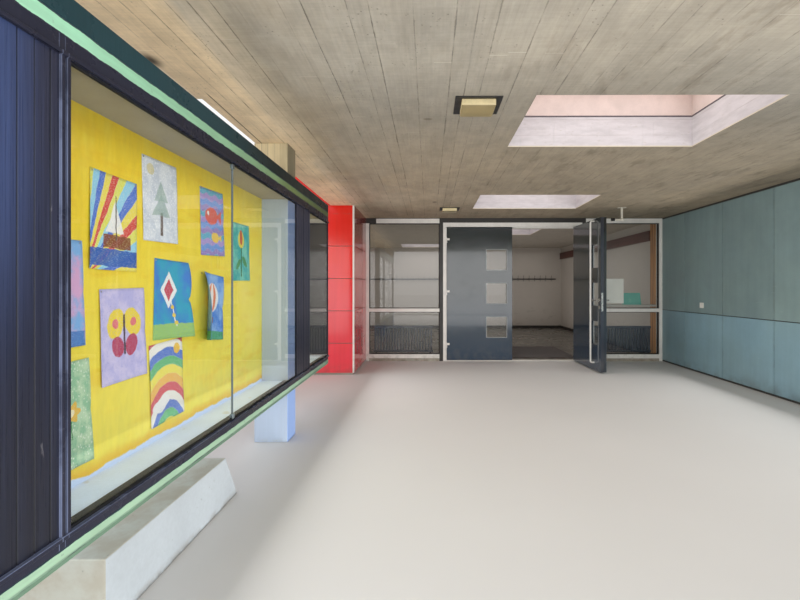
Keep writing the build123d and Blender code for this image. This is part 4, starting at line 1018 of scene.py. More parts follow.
def draw_rainbow(d):
    d.bands(("d8465a", "f0b84a", "f0e24a", "58b878", "4f78d0", "f0ede6"), (0.5, -0.30), "rings",
            9.0)
    d.disc((0.24, 0.22), (0.20, 0.08), "f4f2f2")
    d.disc((0.40, 0.27), (0.15, 0.07), "f4f2f2")
    d.disc((0.82, 0.88), (0.10, 0.07), "f0c23a")


def draw_meadow(d):
    d.wash("bcd8b4", "8fc09a", 5.0)
    d.dots("e9efe2", 26.0, 0.26, 0.8)
    d.dots("5f9f86", 40.0, 0.15, 0.8)
    for x, y, tint in ((0.30, 0.34, "d8546a"), (0.66, 0.52, "e8b83a"), (0.42, 0.74, "d8546a")):
        d.bar((x, y - 0.13), (0.010, 0.11), "3f8a4a")
        d.disc((x, y), (0.13, 0.09), tint, petals=6)
        d.disc((x, y), (0.05, 0.035), "f4e9c2")


# ---------------------------------------------------------------- meshes


def piece(name, mesh, material, body="building", replaces=()):
    """Links a mesh as a piece of the building and rides it on its body."""
    mesh.name = name
    item = bpy.data.objects.new(name, mesh)
    bpy.context.scene.collection.objects.link(item)
    if material is not None:
        mesh.materials.clear()
        mesh.materials.append(material)
    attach(item, body)
    if replaces:
        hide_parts(*replaces)
    return item


def from_bmesh(bm, name="mesh"):
    mesh = bpy.data.meshes.new(name)
    bm.to_mesh(mesh)
    bm.free()
    return mesh


def paint_node(material, *nodes):
    """Gives CAD nodes a material."""
    for name in nodes:
        mesh = frame["nodes"][name].data
        mesh.materials.clear()
        mesh.materials.append(material)


def soften(bm, width, segments=2):
    """Rounds the sharp edges of a merged mesh and smooths only the rounded faces."""
    sharp = [e for e in bm.edges if len(e.link_faces) == 2
             and e.calc_face_angle(0.0) > math.radians(35.0)]
    for face in bm.faces:
        face.smooth = False
    made = bmesh.ops.bevel(bm, geom=sharp, offset=width, offset_type="OFFSET", segments=segments,
                           profile=0.6, affect="EDGES", clamp_overlap=True)
    for face in made["faces"]:
        face.smooth = True


def softened(node, material, width, segments=2):
    """A copy of a CAD node with rounded edges that stands for the node."""
    bm = bmesh.new()
    bm.from_mesh(frame["nodes"][node].data)
    bmesh.ops.remove_doubles(bm, verts=bm.verts, dist=1e-5)
    bmesh.ops.dissolve_limit(bm, angle_limit=math.radians(0.5), verts=bm.verts, edges=bm.edges)
    soften(bm, width, segments)
    low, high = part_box(node)
    for v in bm.verts:
        v.co = Vector((min(max(v.co[i], low[i]), high[i]) for i in range(3)))
    piece(node + "_finish", from_bmesh(bm), material, frame["nodes"][node]["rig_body"],
          (node,))


def add_box(bm, low, high):
    """A closed box between two corners."""
    low, high = Vector(low), Vector(high)
    for v in bmesh.ops.create_cube(bm, size=1.0)["verts"]:
        v.co = Vector((low[i] + (v.co[i] + 0.5) * (high[i] - low[i]) for i in range(3)))


def boxes(name, material, spans, rounding=0.0):
    """A piece of boxes, each between two corners, with rounded edges."""
    bm = bmesh.new()
    for low, high in spans:
        add_box(bm, low, high)
    if rounding:
        soften(bm, rounding)
    piece(name, from_bmesh(bm), material)


def add_ring(bm, corners, outward, profile):
    """A mitred frame: a profile of (inset, rise) points swept round four corners.

    Corners run round a rectangle; outward is the direction of rise."""
    sides = [(corners[(i + 1) % 4] - corners[i]).normalized() for i in range(4)]
    loops = [[bm.verts.new(corner + (sides[i] - sides[i - 1]) * inset + outward * rise)
              for inset, rise in profile] for i, corner in enumerate(corners)]
    faces = []
    for i, one in enumerate(loops):
        two = loops[(i + 1) % 4]
        for k in range(len(profile)):
            m = (k + 1) % len(profile)
            faces.append(bm.faces.new((one[k], one[m], two[m], two[k])))
    bmesh.ops.recalc_face_normals(bm, faces=faces)


def rectangle(low, high, axis, level):
    """Four corners at a level on Y or Z, from (a, b) to (a, b) of the other two axes."""
    (a0, b0), (a1, b1) = low, high
    points = ((a0, b0), (a1, b0), (a1, b1), (a0, b1))
    return [Vector((a, level, b) if axis == "y" else (a, b, level)) for a, b in points]


# ---------------------------------------------------------------- Geometry Nodes


class Tree(Nodes):
    """A Geometry Nodes tree with named inputs."""

    MATH = "ShaderNodeMath"
    SOCKETS = {float: "NodeSocketFloat", int: "NodeSocketInt", tuple: "NodeSocketVector"}

    def __init__(self, name, **inputs):
        self.group = bpy.data.node_groups.new(name, "GeometryNodeTree")
        face = self.group.interface
        face.new_socket("Geometry", in_out="OUTPUT", socket_type="NodeSocketGeometry")
        for label, value in inputs.items():
            socket = face.new_socket(label.replace("_", " "), in_out="INPUT",
                                     socket_type=self.SOCKETS[type(value)])
            socket.default_value = value
        face.new_socket("Material", in_out="INPUT", socket_type="NodeSocketMaterial")
        self.nodes, self.links = self.group.nodes, self.group.links
        self.entry = self.nodes.new("NodeGroupInput")

    def given(self, label):
        return self.entry.outputs[label]

    def join(self, *parts):
        node = self.nodes.new("GeometryNodeJoinGeometry")
        for part in parts:
            self.links.new(part, node.inputs[0])
        return node.outputs[0]

    def close(self, geometry):
        """Ends the tree: instances made real, and the material set."""
        real = self.add("GeometryNodeRealizeInstances", geometry)
        painted = self.add("GeometryNodeSetMaterial", real, Material=self.given("Material"))
        output = self.nodes.new("NodeGroupOutput")
        self.links.new(painted, output.inputs[0])
        return self.group

    def slat(self, x, y, z, chamfer):
        """An upright slab with chamfered upright edges, closed at both ends."""
        outline = self.add("GeometryNodeCurvePrimitiveQuadrilateral", Width=x, Height=y)
        rounded = self.add("GeometryNodeFilletCurve", outline, Radius=chamfer,
                           options={"mode": "POLY"})
        face = self.add("GeometryNodeFillCurve", rounded, options={"mode": "NGONS"})
        tall = self.add("GeometryNodeExtrudeMesh", face, Offset_Scale=z)
        under = self.add("GeometryNodeFlipFaces", face)
        return self.add("GeometryNodeMergeByDistance", self.join(tall, under), Distance=1e-6)


def slat_run():
    """Like slats in a row: tongued boards, or the ribs of a mat."""
    t = Tree("slat run", Slat_X=0.02, Slat_Y=0.05, Slat_Z=1.0, Chamfer=0.004, Start=(0.0, 0.0, 0.0),
             Step=(0.0, 0.056, 0.0), Count=9, Jitter=0.0, Seed=1)
    slat = t.slat(t.given("Slat X"), t.given("Slat Y"), t.given("Slat Z"), t.given("Chamfer"))
    line = t.add("GeometryNodeMeshLine", Count=t.given("Count"), Start_Location=t.given("Start"),
                 Offset=t.given("Step"))
    shift = t.add("FunctionNodeRandomValue", options={"data_type": "FLOAT"}, out=1).node
    low = t.calc("MULTIPLY", t.given("Jitter"), -1.0)
    t.links.new(low, shift.inputs[2])
    t.links.new(t.given("Jitter"), shift.inputs[3])
    t.links.new(t.given("Seed"), shift.inputs[8])
    offset = t.add("ShaderNodeCombineXYZ", shift.outputs[1])
    points = t.add("GeometryNodeSetPosition", line, Offset=offset)
    return t.close(t.add("GeometryNodeInstanceOnPoints", points, Instance=slat))


def bolt_ring():
    """Bolts with washers at even steps round a rectangle that lies level."""
    t = Tree("bolt ring", Width=1.0, Length=1.0, Pitch=0.3, Level=0.0, Centre=(0.0, 0.0, 0.0),
             Bolt_Radius=0.006, Washer_Radius=0.012)
    outline = t.add("GeometryNodeCurvePrimitiveQuadrilateral", Width=t.given("Width"),
                    Height=t.given("Length"))
    steps = t.add("GeometryNodeResampleCurve", outline, Length=t.given("Pitch"),
                  options={"mode": "LENGTH"})
    washer = t.add("GeometryNodeMeshCylinder", Vertices=16, Radius=t.given("Washer Radius"),
                   Depth=0.002)
    head = t.add("GeometryNodeMeshCylinder", Vertices=6, Radius=t.given("Bolt Radius"), Depth=0.006)
    head = t.add("GeometryNodeTransform", head, Translation=(0, 0, 0.004))
    bolts = t.add("GeometryNodeInstanceOnPoints", steps, Instance=t.join(washer, head))
    return t.close(t.add("GeometryNodeTransform", bolts, Translation=t.given("Centre")))


def hook_row():
    """Double coat hooks: two prongs bent out from a plate, with a ball at each end."""
    t = Tree("hook row", Start=(0.0, 0.0, 0.0), Pitch=0.17, Count=10, Reach=0.06, Rod=0.0045,
             Ball=0.009)
    rod = t.add("GeometryNodeCurvePrimitiveCircle", Resolution=8, Radius=t.given("Rod"))
    reach = t.given("Reach")
    out = t.calc("MULTIPLY", reach, -1.0)
    parts = []
    for rise, drop in ((0.085, -0.02), (-0.07, -0.05)):
        end = t.add("ShaderNodeCombineXYZ", 0.0, out, rise)
        bend = t.add("ShaderNodeCombineXYZ", 0.0, t.calc("MULTIPLY", reach, -0.9), drop)
        arm = t.add("GeometryNodeCurvePrimitiveBezierSegment", options={"mode": "POSITION"},
                    Resolution=8, Start=(0.0, 0.0, 0.0 if rise > 0 else -0.02),
                    Start_Handle=(0.0, -0.02, drop), End_Handle=bend, End=end)
        parts.append(t.add("GeometryNodeCurveToMesh", arm, rod, Fill_Caps=True))
        ball = t.add("GeometryNodeMeshIcoSphere", Radius=t.given("Ball"), Subdivisions=2)
        parts.append(t.add("GeometryNodeTransform", ball, Translation=end))
    plate = t.add("GeometryNodeMeshCylinder", Vertices=20, Radius=0.016, Depth=0.005)
    parts.append(t.add("GeometryNodeTransform", plate, Translation=(0, -0.001, -0.01),
                       Rotation=(math.pi / 2, 0, 0)))
    step = t.add("ShaderNodeCombineXYZ", t.given("Pitch"))
    line = t.add("GeometryNodeMeshLine", Count=t.given("Count"), Start_Location=t.given("Start"),
                 Offset=step)
    return t.close(t.add("GeometryNodeInstanceOnPoints", line, Instance=t.join(*parts)))


def grown(group, material, **sizes):
    """Runs a tree on an empty mesh and returns the result as a plain mesh."""
    host = bpy.data.objects.new("host", bpy.data.meshes.new("host"))
    bpy.context.scene.collection.objects.link(host)
    modifier = host.modifiers.new(group.name, "NODES")
    modifier.node_group = group
    given = {**{key.replace("_", " "): value for key, value in sizes.items()}, "Material": material}
    for item in group.interface.items_tree:
        if item.in_out == "INPUT" and item.name in given:
            modifier[item.identifier] = given[item.name]
    depsgraph = bpy.context.evaluated_depsgraph_get()
    mesh = bpy.data.meshes.new_from_object(host.evaluated_get(depsgraph), depsgraph=depsgraph)
    host.modifiers.remove(modifier)
    bpy.data.objects.remove(host)
    if not mesh.polygons:
        raise RuntimeError(f"the tree {group.name} made nothing")
    return mesh


def joined(*meshes):
    """Several plain meshes as one."""
    bm = bmesh.new()
    for mesh in meshes:
        bm.from_mesh(mesh)
    return from_bmesh(bm)


def smooth_by_angle(mesh, angle):
    mesh.polygons.foreach_set("use_smooth", [True] * len(mesh.polygons))
    mesh.set_sharp_from_angle(angle=math.radians(angle))


# ---------------------------------------------------------------- operators


class PieceOperator:
    """What the operators share."""

    bl_options = {"REGISTER", "UNDO"}

    def execute(self, context):
        self.build(context.scene.entrance_colours, context.scene.entrance_sizes)
        return {"FINISHED"}


class ENTRANCE_OT_stage(PieceOperator, bpy.types.Operator):
    """Floor, pale surroundings, soft lamps and the camera at the photograph's angle"""

    bl_idname = "entrance.stage"
    bl_label = "Stage"

    def build(self, c, sizes):
        scene = bpy.context.scene
        scene.view_settings.view_transform = "Standard"
        self.surroundings(scene)
        self.ground(c)
        self.lamps()
        self.camera(scene)

    def surroundings(self, scene):
        world = bpy.data.worlds.new("pale_surroundings")
        world.use_nodes = True
        world.node_tree.nodes["Background"].inputs["Color"].default_value = (1, 1, 1, 1)
        world.node_tree.nodes["Background"].inputs["Strength"].default_value = 1.0
        scene.world = world

    def ground(self, c):
        bm = bmesh.new()
        bmesh.ops.create_grid(bm, x_segments=4, y_segments=4, size=60.0)
        for v in bm.verts:
            v.co.z = GROUND - 0.001
        mesh = from_bmesh(bm, "stage_floor")
        f = Finish("stage_floor")
        mottle = f.noise(0.6, detail=3.0)
        mesh.materials.append(f.done(f.coat(Base_Color=f.tone(c.floor, f.vary(mottle, 0.985, 1.01)),
                                            Roughness=0.85)))
        item = bpy.data.objects.new("stage_floor", mesh)
        bpy.context.scene.collection.objects.link(item)

    def lamps(self):
        # name, width, depth, place, turn, brightness of the face, shown in gloss
        rows = [
            ("daylight", 13.0, 4.1, (0.0, -12.0, 2.1), (90, 0, 0), 2.5, True),
            ("paving", 13.0, 5.6, (0.0, -9.2, 0.012), (180, 0, 0), 1.7, "only"),
            ("case_light", 3.6, 1.4, (-2.064, -4.05, 1.27), (90, 0, 90), 0.5, False),
            ("case_floor_light", 0.19, 3.6, (-2.172, -4.05, 0.64), (0, 0, 0), 0.5, False),
            ("hall_bounce", 5.6, 5.0, (0.0, 3.6, 0.10), (180, 0, 0), 0.4, False),
            ("wall_fill", 6.0, 2.0, (-1.75, -3.6, 1.25), (90, 0, -90), 1.15, False),
            ("case_fill", 6.0, 2.0, (2.85, -3.8, 1.25), (90, 0, 90), 1.2, False),
            ("forecourt_bounce", 5.0, 5.0, (0.4, -4.5, 0.012), (180, 0, 0), 0.7, False),
            ("case_bounce", 0.6, 4.0, (-2.9, -4.4, 0.012), (180, 0, 0), 0.3, False),
            ("hall_fill", 5.6, 5.2, (0.0, 3.8, 2.42), (0, 0, 0), 0.38, False),
        ]
        rows += [(f"shaft_{n}", 1.4, 0.9, (x, y, CURB_HIGH.z + 0.02), (0, 0, 0), 1.6, False)
                 for n, (x, y) in enumerate(ROOFLIGHTS)]
        for name, width, depth, place, turn, level, glossy in rows:
            lamp = bpy.data.lights.new(name, "AREA")
            lamp.shape = "RECTANGLE"
            lamp.size, lamp.size_y = width, depth
            lamp.energy = level * math.pi * width * depth
            item = bpy.data.objects.new(name, lamp)
            item.location = place
            item.rotation_euler = [math.radians(a) for a in turn]
            item.visible_camera = False
            item.visible_glossy = bool(glossy)
            item.visible_diffuse = glossy != "only"
            item.visible_transmission = False
            bpy.context.scene.collection.objects.link(item)

    def camera(self, scene):
        lens = bpy.data.cameras.new("photo_camera")
        lens.sensor_width = 36.0
        lens.lens = 20.345
        lens.shift_x, lens.shift_y = -0.0332, -0.0166
        lens.clip_start, lens.clip_end = 0.05, 200.0
        item = bpy.data.objects.new("photo_camera", lens)
        item.location = (-0.8835, -7.3681, 1.2999)
        item.rotation_euler = (math.radians(90), 0.0, 0.00475)
        scene.collection.objects.link(item)
        scene.camera = item


class ENTRANCE_OT_concrete(PieceOperator, bpy.types.Operator):
    """Concrete of the roof, walls, columns, kerbs and the block under the case"""

    bl_idname = "entrance.concrete"
    bl_label = "Concrete"

    def build(self, c, sizes):
        paint_node(soffit_concrete(c, sizes), "roof_slab")
        softened("roof_parapet", cast_concrete(c), 0.006)
        paint_node(cast_concrete(c, "kerb_concrete"), "window_kerbs")
        paint_node(wall_finish(c), "right_wall", "back_wall", "left_wall", "wing_front_wall",
                   "wing_side_wall")
        softened("columns", column_finish(c), 0.004)
        softened("concrete_block", block_finish(), 0.007, segments=3)


class ENTRANCE_OT_roof(PieceOperator, bpy.types.Operator):
    """Felt with its upstands, and the curbs, gaskets, domes and bolts of the roof lights"""

    bl_idname = "entrance.roof"
    bl_label = "Roof and roof lights"

    def build(self, c, sizes):
        felt = felt_finish(c)
        paint_node(felt, "roof_covering")
        self.upstands(felt)
        paint_node(opal_finish(c, "opal_curb", 0.35), "rooflight_curbs")
        paint_node(opal_finish(c, "opal_dome", 0.55), "rooflight_domes")
        self.gaskets()
        self.bolts(sizes)

    def rings(self, reach, level, profile):
        """A profile swept round each roof light, a reach beyond its hole."""
        bm = bmesh.new()
        half_x, half_y = ROOFLIGHT_HALF[0] + reach, ROOFLIGHT_HALF[1] + reach
        for x, y in ROOFLIGHTS:
            corners = rectangle((x - half_x, y - half_y), (x + half_x, y + half_y), "z", level)
            add_ring(bm, corners, Vector((0, 0, 1)), profile)
        return from_bmesh(bm)

    def upstands(self, felt):
        """Felt turned up round each curb over a tilting fillet."""
        profile = [(0.0, 0.0), (0.0, 0.09), (-0.006, 0.094), (-0.011, 0.088), (-0.011, 0.045),
                   (-0.05, 0.006), (-0.12, 0.004), (-0.12, 0.0)]
        rings = self.rings(0.07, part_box("roof_covering")[1].z, profile)
        piece("felt_upstands", rings, felt)

    def gaskets(self):
        """The dark joint between slab and curb that shows in each shaft."""
        profile = [(-0.002, -0.006), (0.003, -0.005), (0.005, 0.0), (0.003, 0.006), (-0.002, 0.007)]
        piece("rooflight_gaskets", self.rings(0.0, CURB_LOW.z, profile),
              rubber_finish("gasket_rubber", "5c5458"))

    def bolts(self, sizes):
        tree = bolt_ring()
        steel = metal_finish("zinc_bolts", "a9abad", 0.4)
        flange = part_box("rooflight_domes")[0].z
        meshes = []
        for x, y in ROOFLIGHTS:
            meshes.append(grown(tree, steel, Width=2 * ROOFLIGHT_HALF[0] + 0.08,
                                Length=2 * ROOFLIGHT_HALF[1] + 0.08,
                                Pitch=sizes.bolt_pitch, Centre=(x, y, flange + 0.05)))
        piece("dome_bolts", joined(*meshes), steel)


class ENTRANCE_OT_lamps(PieceOperator, bpy.types.Operator):
    """The two soffit lamps with their aged covers"""

    bl_idname = "entrance.lamps"
    bl_label = "Soffit lamps"

    def build(self, c, sizes):
        softened("lamp_housings", plastic_finish("lamp_black", "1d1c1b", "4a4438", 0.4), 0.0015)
        self.covers(lamp_finish(c))

    def covers(self, plastic):
        """Deep covers with a near face that catches the daylight, short of the far end."""
        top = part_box("lamp_covers")[1].z
        bm = bmesh.new()
        for x, y in LAMP_CENTRES:
            add_box(bm, (x - 0.109, y - 0.121, top - 0.044), (x + 0.109, y + 0.078, top))
        soften(bm, 0.007, 3)
        mesh = from_bmesh(bm)
        smooth_by_angle(mesh, 50.0)
        piece("lamp_cover_shells", mesh, plastic, replaces=("lamp_covers",))


class ENTRANCE_OT_wall_panels(PieceOperator, bpy.types.Operator):
    """Blue-grey panels on the forecourt wall and on the three outer sides, and the switch"""

    bl_idname = "entrance.wall_panels"
    bl_label = "Wall panels"

    def build(self, c, sizes):
        enamel = enamel_panel(c)
        for node in ("forecourt_panels_lower", "forecourt_panels_upper", "outer_panels"):
            softened(node, enamel, sizes.edge)
        paint_node(plastic_finish("switch_white", "e6e4dd", "a79c80", 0.35), "switch_box")


class ENTRANCE_OT_red_panels(PieceOperator, bpy.types.Operator):
    """Red gloss panels of the wing and their cream corner trim"""

    bl_idname = "entrance.red_panels"
    bl_label = "Red panels"

    def build(self, c, sizes):
        softened("red_panels", red_finish(c), sizes.edge)
        softened("red_corner_trim", steel_paint("corner_trim_paint", c.cream, 0.4), 0.002)


class ENTRANCE_OT_screen(PieceOperator, bpy.types.Operator):
    """Steel frames of the entrance screen, their glass and glazing beads"""

    bl_idname = "entrance.screen"
    bl_label = "Entrance screen"

    def build(self, c, sizes):
        cream = steel_paint("cream_steel_paint", c.cream, 0.36)
        # The window frames' paint carries painted shade in their reveals, from the front face back.
        window_paint_shaded_reveals = steel_paint("window_steel_paint_shaded_reveal", c.cream, 0.36, painted_reveal_shade=(0.538, 0.63))
        dark = steel_paint("dark_steel_paint", c.dark, 0.42, wear="6b6259")
        softened("door_frame", cream, 0.002)
        for node in ("left_window_frame", "right_window_frame"):
            softened(node, window_paint_shaded_reveals, 0.002)
        softened("threshold", steel_paint("threshold_paint", "dcd9d2", 0.4, 0.15), 0.0015)
        softened("dark_frame", dark, 0.002)
        paint_node(glass_finish("clear_glass"), "window_glass")
        self.beads(dark, sizes)

    def beads(self, dark, sizes):
        """Putty lines and beads at both faces of each pane."""
        bm = bmesh.new()
        w = sizes.bead
        left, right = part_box("left_window_frame"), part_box("right_window_frame")
        spans = ((left[0].x + 0.056, left[1].x), (right[0].x, right[1].x - 0.056))
        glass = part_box("window_glass")
        for x0, x1 in spans:
            for z0, z1 in ((glass[0].z, MIDDLE_RAIL[0]), (MIDDLE_RAIL[1], glass[1].z)):
                for level, out in ((glass[0].y, -1), (glass[1].y, 1)):
                    add_ring(bm, rectangle((x0, z0), (x1, z1), "y", level), Vector((0, out, 0)),
                             [(0.0, 0.0), (0.0, w), (w * 0.35, w), (w, w * 0.25), (w, 0.0)])
        piece("window_beads", from_bmesh(bm), dark)


class ENTRANCE_OT_doors(PieceOperator, bpy.types.Operator):
    """Both door leaves with glass, hinges, pull bar, lever, lock plates and beads"""

    bl_idname = "entrance.doors"
    bl_label = "Door leaves"

    def build(self, c, sizes):
        outward = (math.sin(OPEN_ANGLE), -math.cos(OPEN_ANGLE))
        outer = (DOOR_X + HINGE_REACH) * outward[0] + HINGE_Y * outward[1] - KNUCKLE
        cream = steel_paint("hinge_paint", c.cream, 0.34)
        steel = metal_finish("satin_steel", "c6c4bf", 0.25)
        softened("left_leaf", leaf_finish(c, "left_leaf_paint", (0.0, -1.0), -LEFT_LEAF_LOW.y),
                 0.0015)
        softened("right_leaf", leaf_finish(c, "right_leaf_paint", outward, outer, 1.45), 0.0015)
        paint_node(glass_finish("leaf_glass"), "left_leaf_glass", "right_leaf_glass")
        paint_node(cream, "left_leaf_hinges", "right_leaf_hinges", "post_hinges", "pull_bar")
        paint_node(steel, "door_lever", "lock_furniture")
        self.beads()

    def beads(self):
        """Thin metal beads round the glass squares at the outer face of a leaf."""
        edge = steel_paint("bead_paint", "a8adad", 0.3)
        hang_left = Matrix.Translation((DOOR_X - HINGE_REACH, HINGE_Y, 0))
        hang_right = (Matrix.Translation((DOOR_X + HINGE_REACH, HINGE_Y, 0))
                      @ Matrix.Rotation(OPEN_ANGLE, 4, "Z") @ Matrix.Scale(-1, 4, (1, 0, 0)))
        for side, hang in (("left", hang_left), ("right", hang_right)):
            bm = bmesh.new()
            for z in SQUARE_BOTTOMS:
                corners = rectangle((SQUARE_LEFT, z), (SQUARE_LEFT + SQUARE_SIZE, z + SQUARE_SIZE),
                                    "y", KNUCKLE)
                add_ring(bm, corners, Vector((0, -1, 0)),
                         [(0.0, -0.012), (0.0, 0.0), (-0.003, 0.0), (-0.003, 0.0015),
                          (0.004, 0.0022), (0.006, 0.0), (0.006, -0.012)])
            bm.transform(hang)
            bmesh.ops.recalc_face_normals(bm, faces=bm.faces)
            piece(f"{side}_leaf_beads", from_bmesh(bm), edge, f"{side}_leaf")


class ENTRANCE_OT_door_stop(PieceOperator, bpy.types.Operator):
    """The pipe under the soffit that stops the right leaf, and its buffer"""

    bl_idname = "entrance.door_stop"
    bl_label = "Door stop"

    def build(self, c, sizes):
        paint_node(steel_paint("stop_paint", "bdb8ac", 0.4), "door_stop")
        paint_node(rubber_finish(), "stop_buffer")


class ENTRANCE_OT_display_case(PieceOperator, bpy.types.Operator):
    """Body, rails, strips and glass of the display case"""

    bl_idname = "entrance.display_case"
    bl_label = "Display case"

    def build(self, c, sizes):
        paint_node(yellow_finish(c), "case_back")
        paint_node(board_paint("case_shelf_paint", c.case_white, "b9a24a"), "case_floor")
        paint_node(board_paint("case_ceiling_paint", c.case_ceiling, "5f594d"), "case_ceiling")
        zinc = metal_finish("case_zinc", "8b9094", 0.5)
        paint_node(zinc, "case_roof")
        paint_node(board_paint("case_end_paint", c.case_dark, "55505a"), "case_end")
        # Painted highlights on the lower rail's rib and the near post's ribs, and painted shade
        # that darkens the rails towards the back.
        rail_highlights = ((2, 0.5105, 0.5135), (1, -5.957, -5.954), (1, -5.933, -5.931))
        rails = steel_paint("case_rail_paint", c.case_dark, 0.28, 0.2, "6c6a72", rail_highlights,
                            painted_light_ramp=(-5.6, -4.4, 0.6), gloss=1.25)
        softened("case_frame", rails, 0.003, segments=3)
        low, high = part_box("case_strips")[0].z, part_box("case_strips")[1].z
        spans = ((low + 0.003, CASE_LOW.z - 0.003), (CASE_HIGH.z + 0.003, high - 0.007))
        softened("case_strips", brushed_strip("mint_paint", c.mint, c.case_dark, c.teal, spans),
                 0.003)
        # Painted shade darkens the teal fascia towards the back.
        softened("case_fascia", steel_paint("teal_paint", c.teal, 0.30, 0.1, "5c6a6c",
                                            painted_light_ramp=(-5.1, -3.9, 0.3), gloss=1.2), 0.002)
        self.ledge()
        paint_node(glass_finish("case_glass", bend=1.24), "case_glass")
        # Painted shade: a darker mint lip under the lower strip.
        boxes("strip_lip", board_paint("lip_shade_paint", "6f9078", "50604f"),
              [((CASE_LOW.x, CASE_LOW.y, low - 0.014),
                (CASE_LOW.x + 0.017, CASE_HIGH.y, low + 0.001))])

    def ledge(self):
        """The dark ledge behind the glass."""
        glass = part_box("case_glass")[0]
        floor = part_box("case_floor")[1].z
        start = (glass.x - 0.045, glass.y, floor)
        end = (glass.x - 0.002, CASE_HIGH.y - 0.04, floor + 0.006)
        boxes("glass_ledge", rubber_finish("ledge_black", "15161a"), [(start, end)], 0.002)


class ENTRANCE_OT_case_boards(PieceOperator, bpy.types.Operator):
    """Tongued boards of the case, each with its chamfers"""

    bl_idname = "entrance.case_boards"
    bl_label = "Case boards"

    def build(self, c, sizes):
        stain = dark_timber(c)
        low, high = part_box("case_boards")
        tree = slat_run()
        meshes = []
        backing = bmesh.new()
        for y0, count, pitch in ((low.y, 10, NEAR_PITCH), (high.y - 8 * FAR_PITCH, 8, FAR_PITCH)):
            y1 = y0 + count * pitch
            meshes.append(grown(tree, stain, Slat_X=high.x - low.x - 0.002, Slat_Y=pitch - 0.001,
                                Slat_Z=high.z - low.z, Chamfer=sizes.board_chamfer,
                                Start=((low.x + high.x) / 2, y0 + pitch / 2, low.z),
                                Step=(0.0, pitch, 0.0), Count=count, Jitter=0.0005,
                                Seed=sizes.seed))
            add_box(backing, (low.x, y0, low.z), (low.x + 0.009, y1, high.z))
        piece("case_tongued_boards", joined(*meshes, from_bmesh(backing)), stain,
              replaces=("case_boards",))


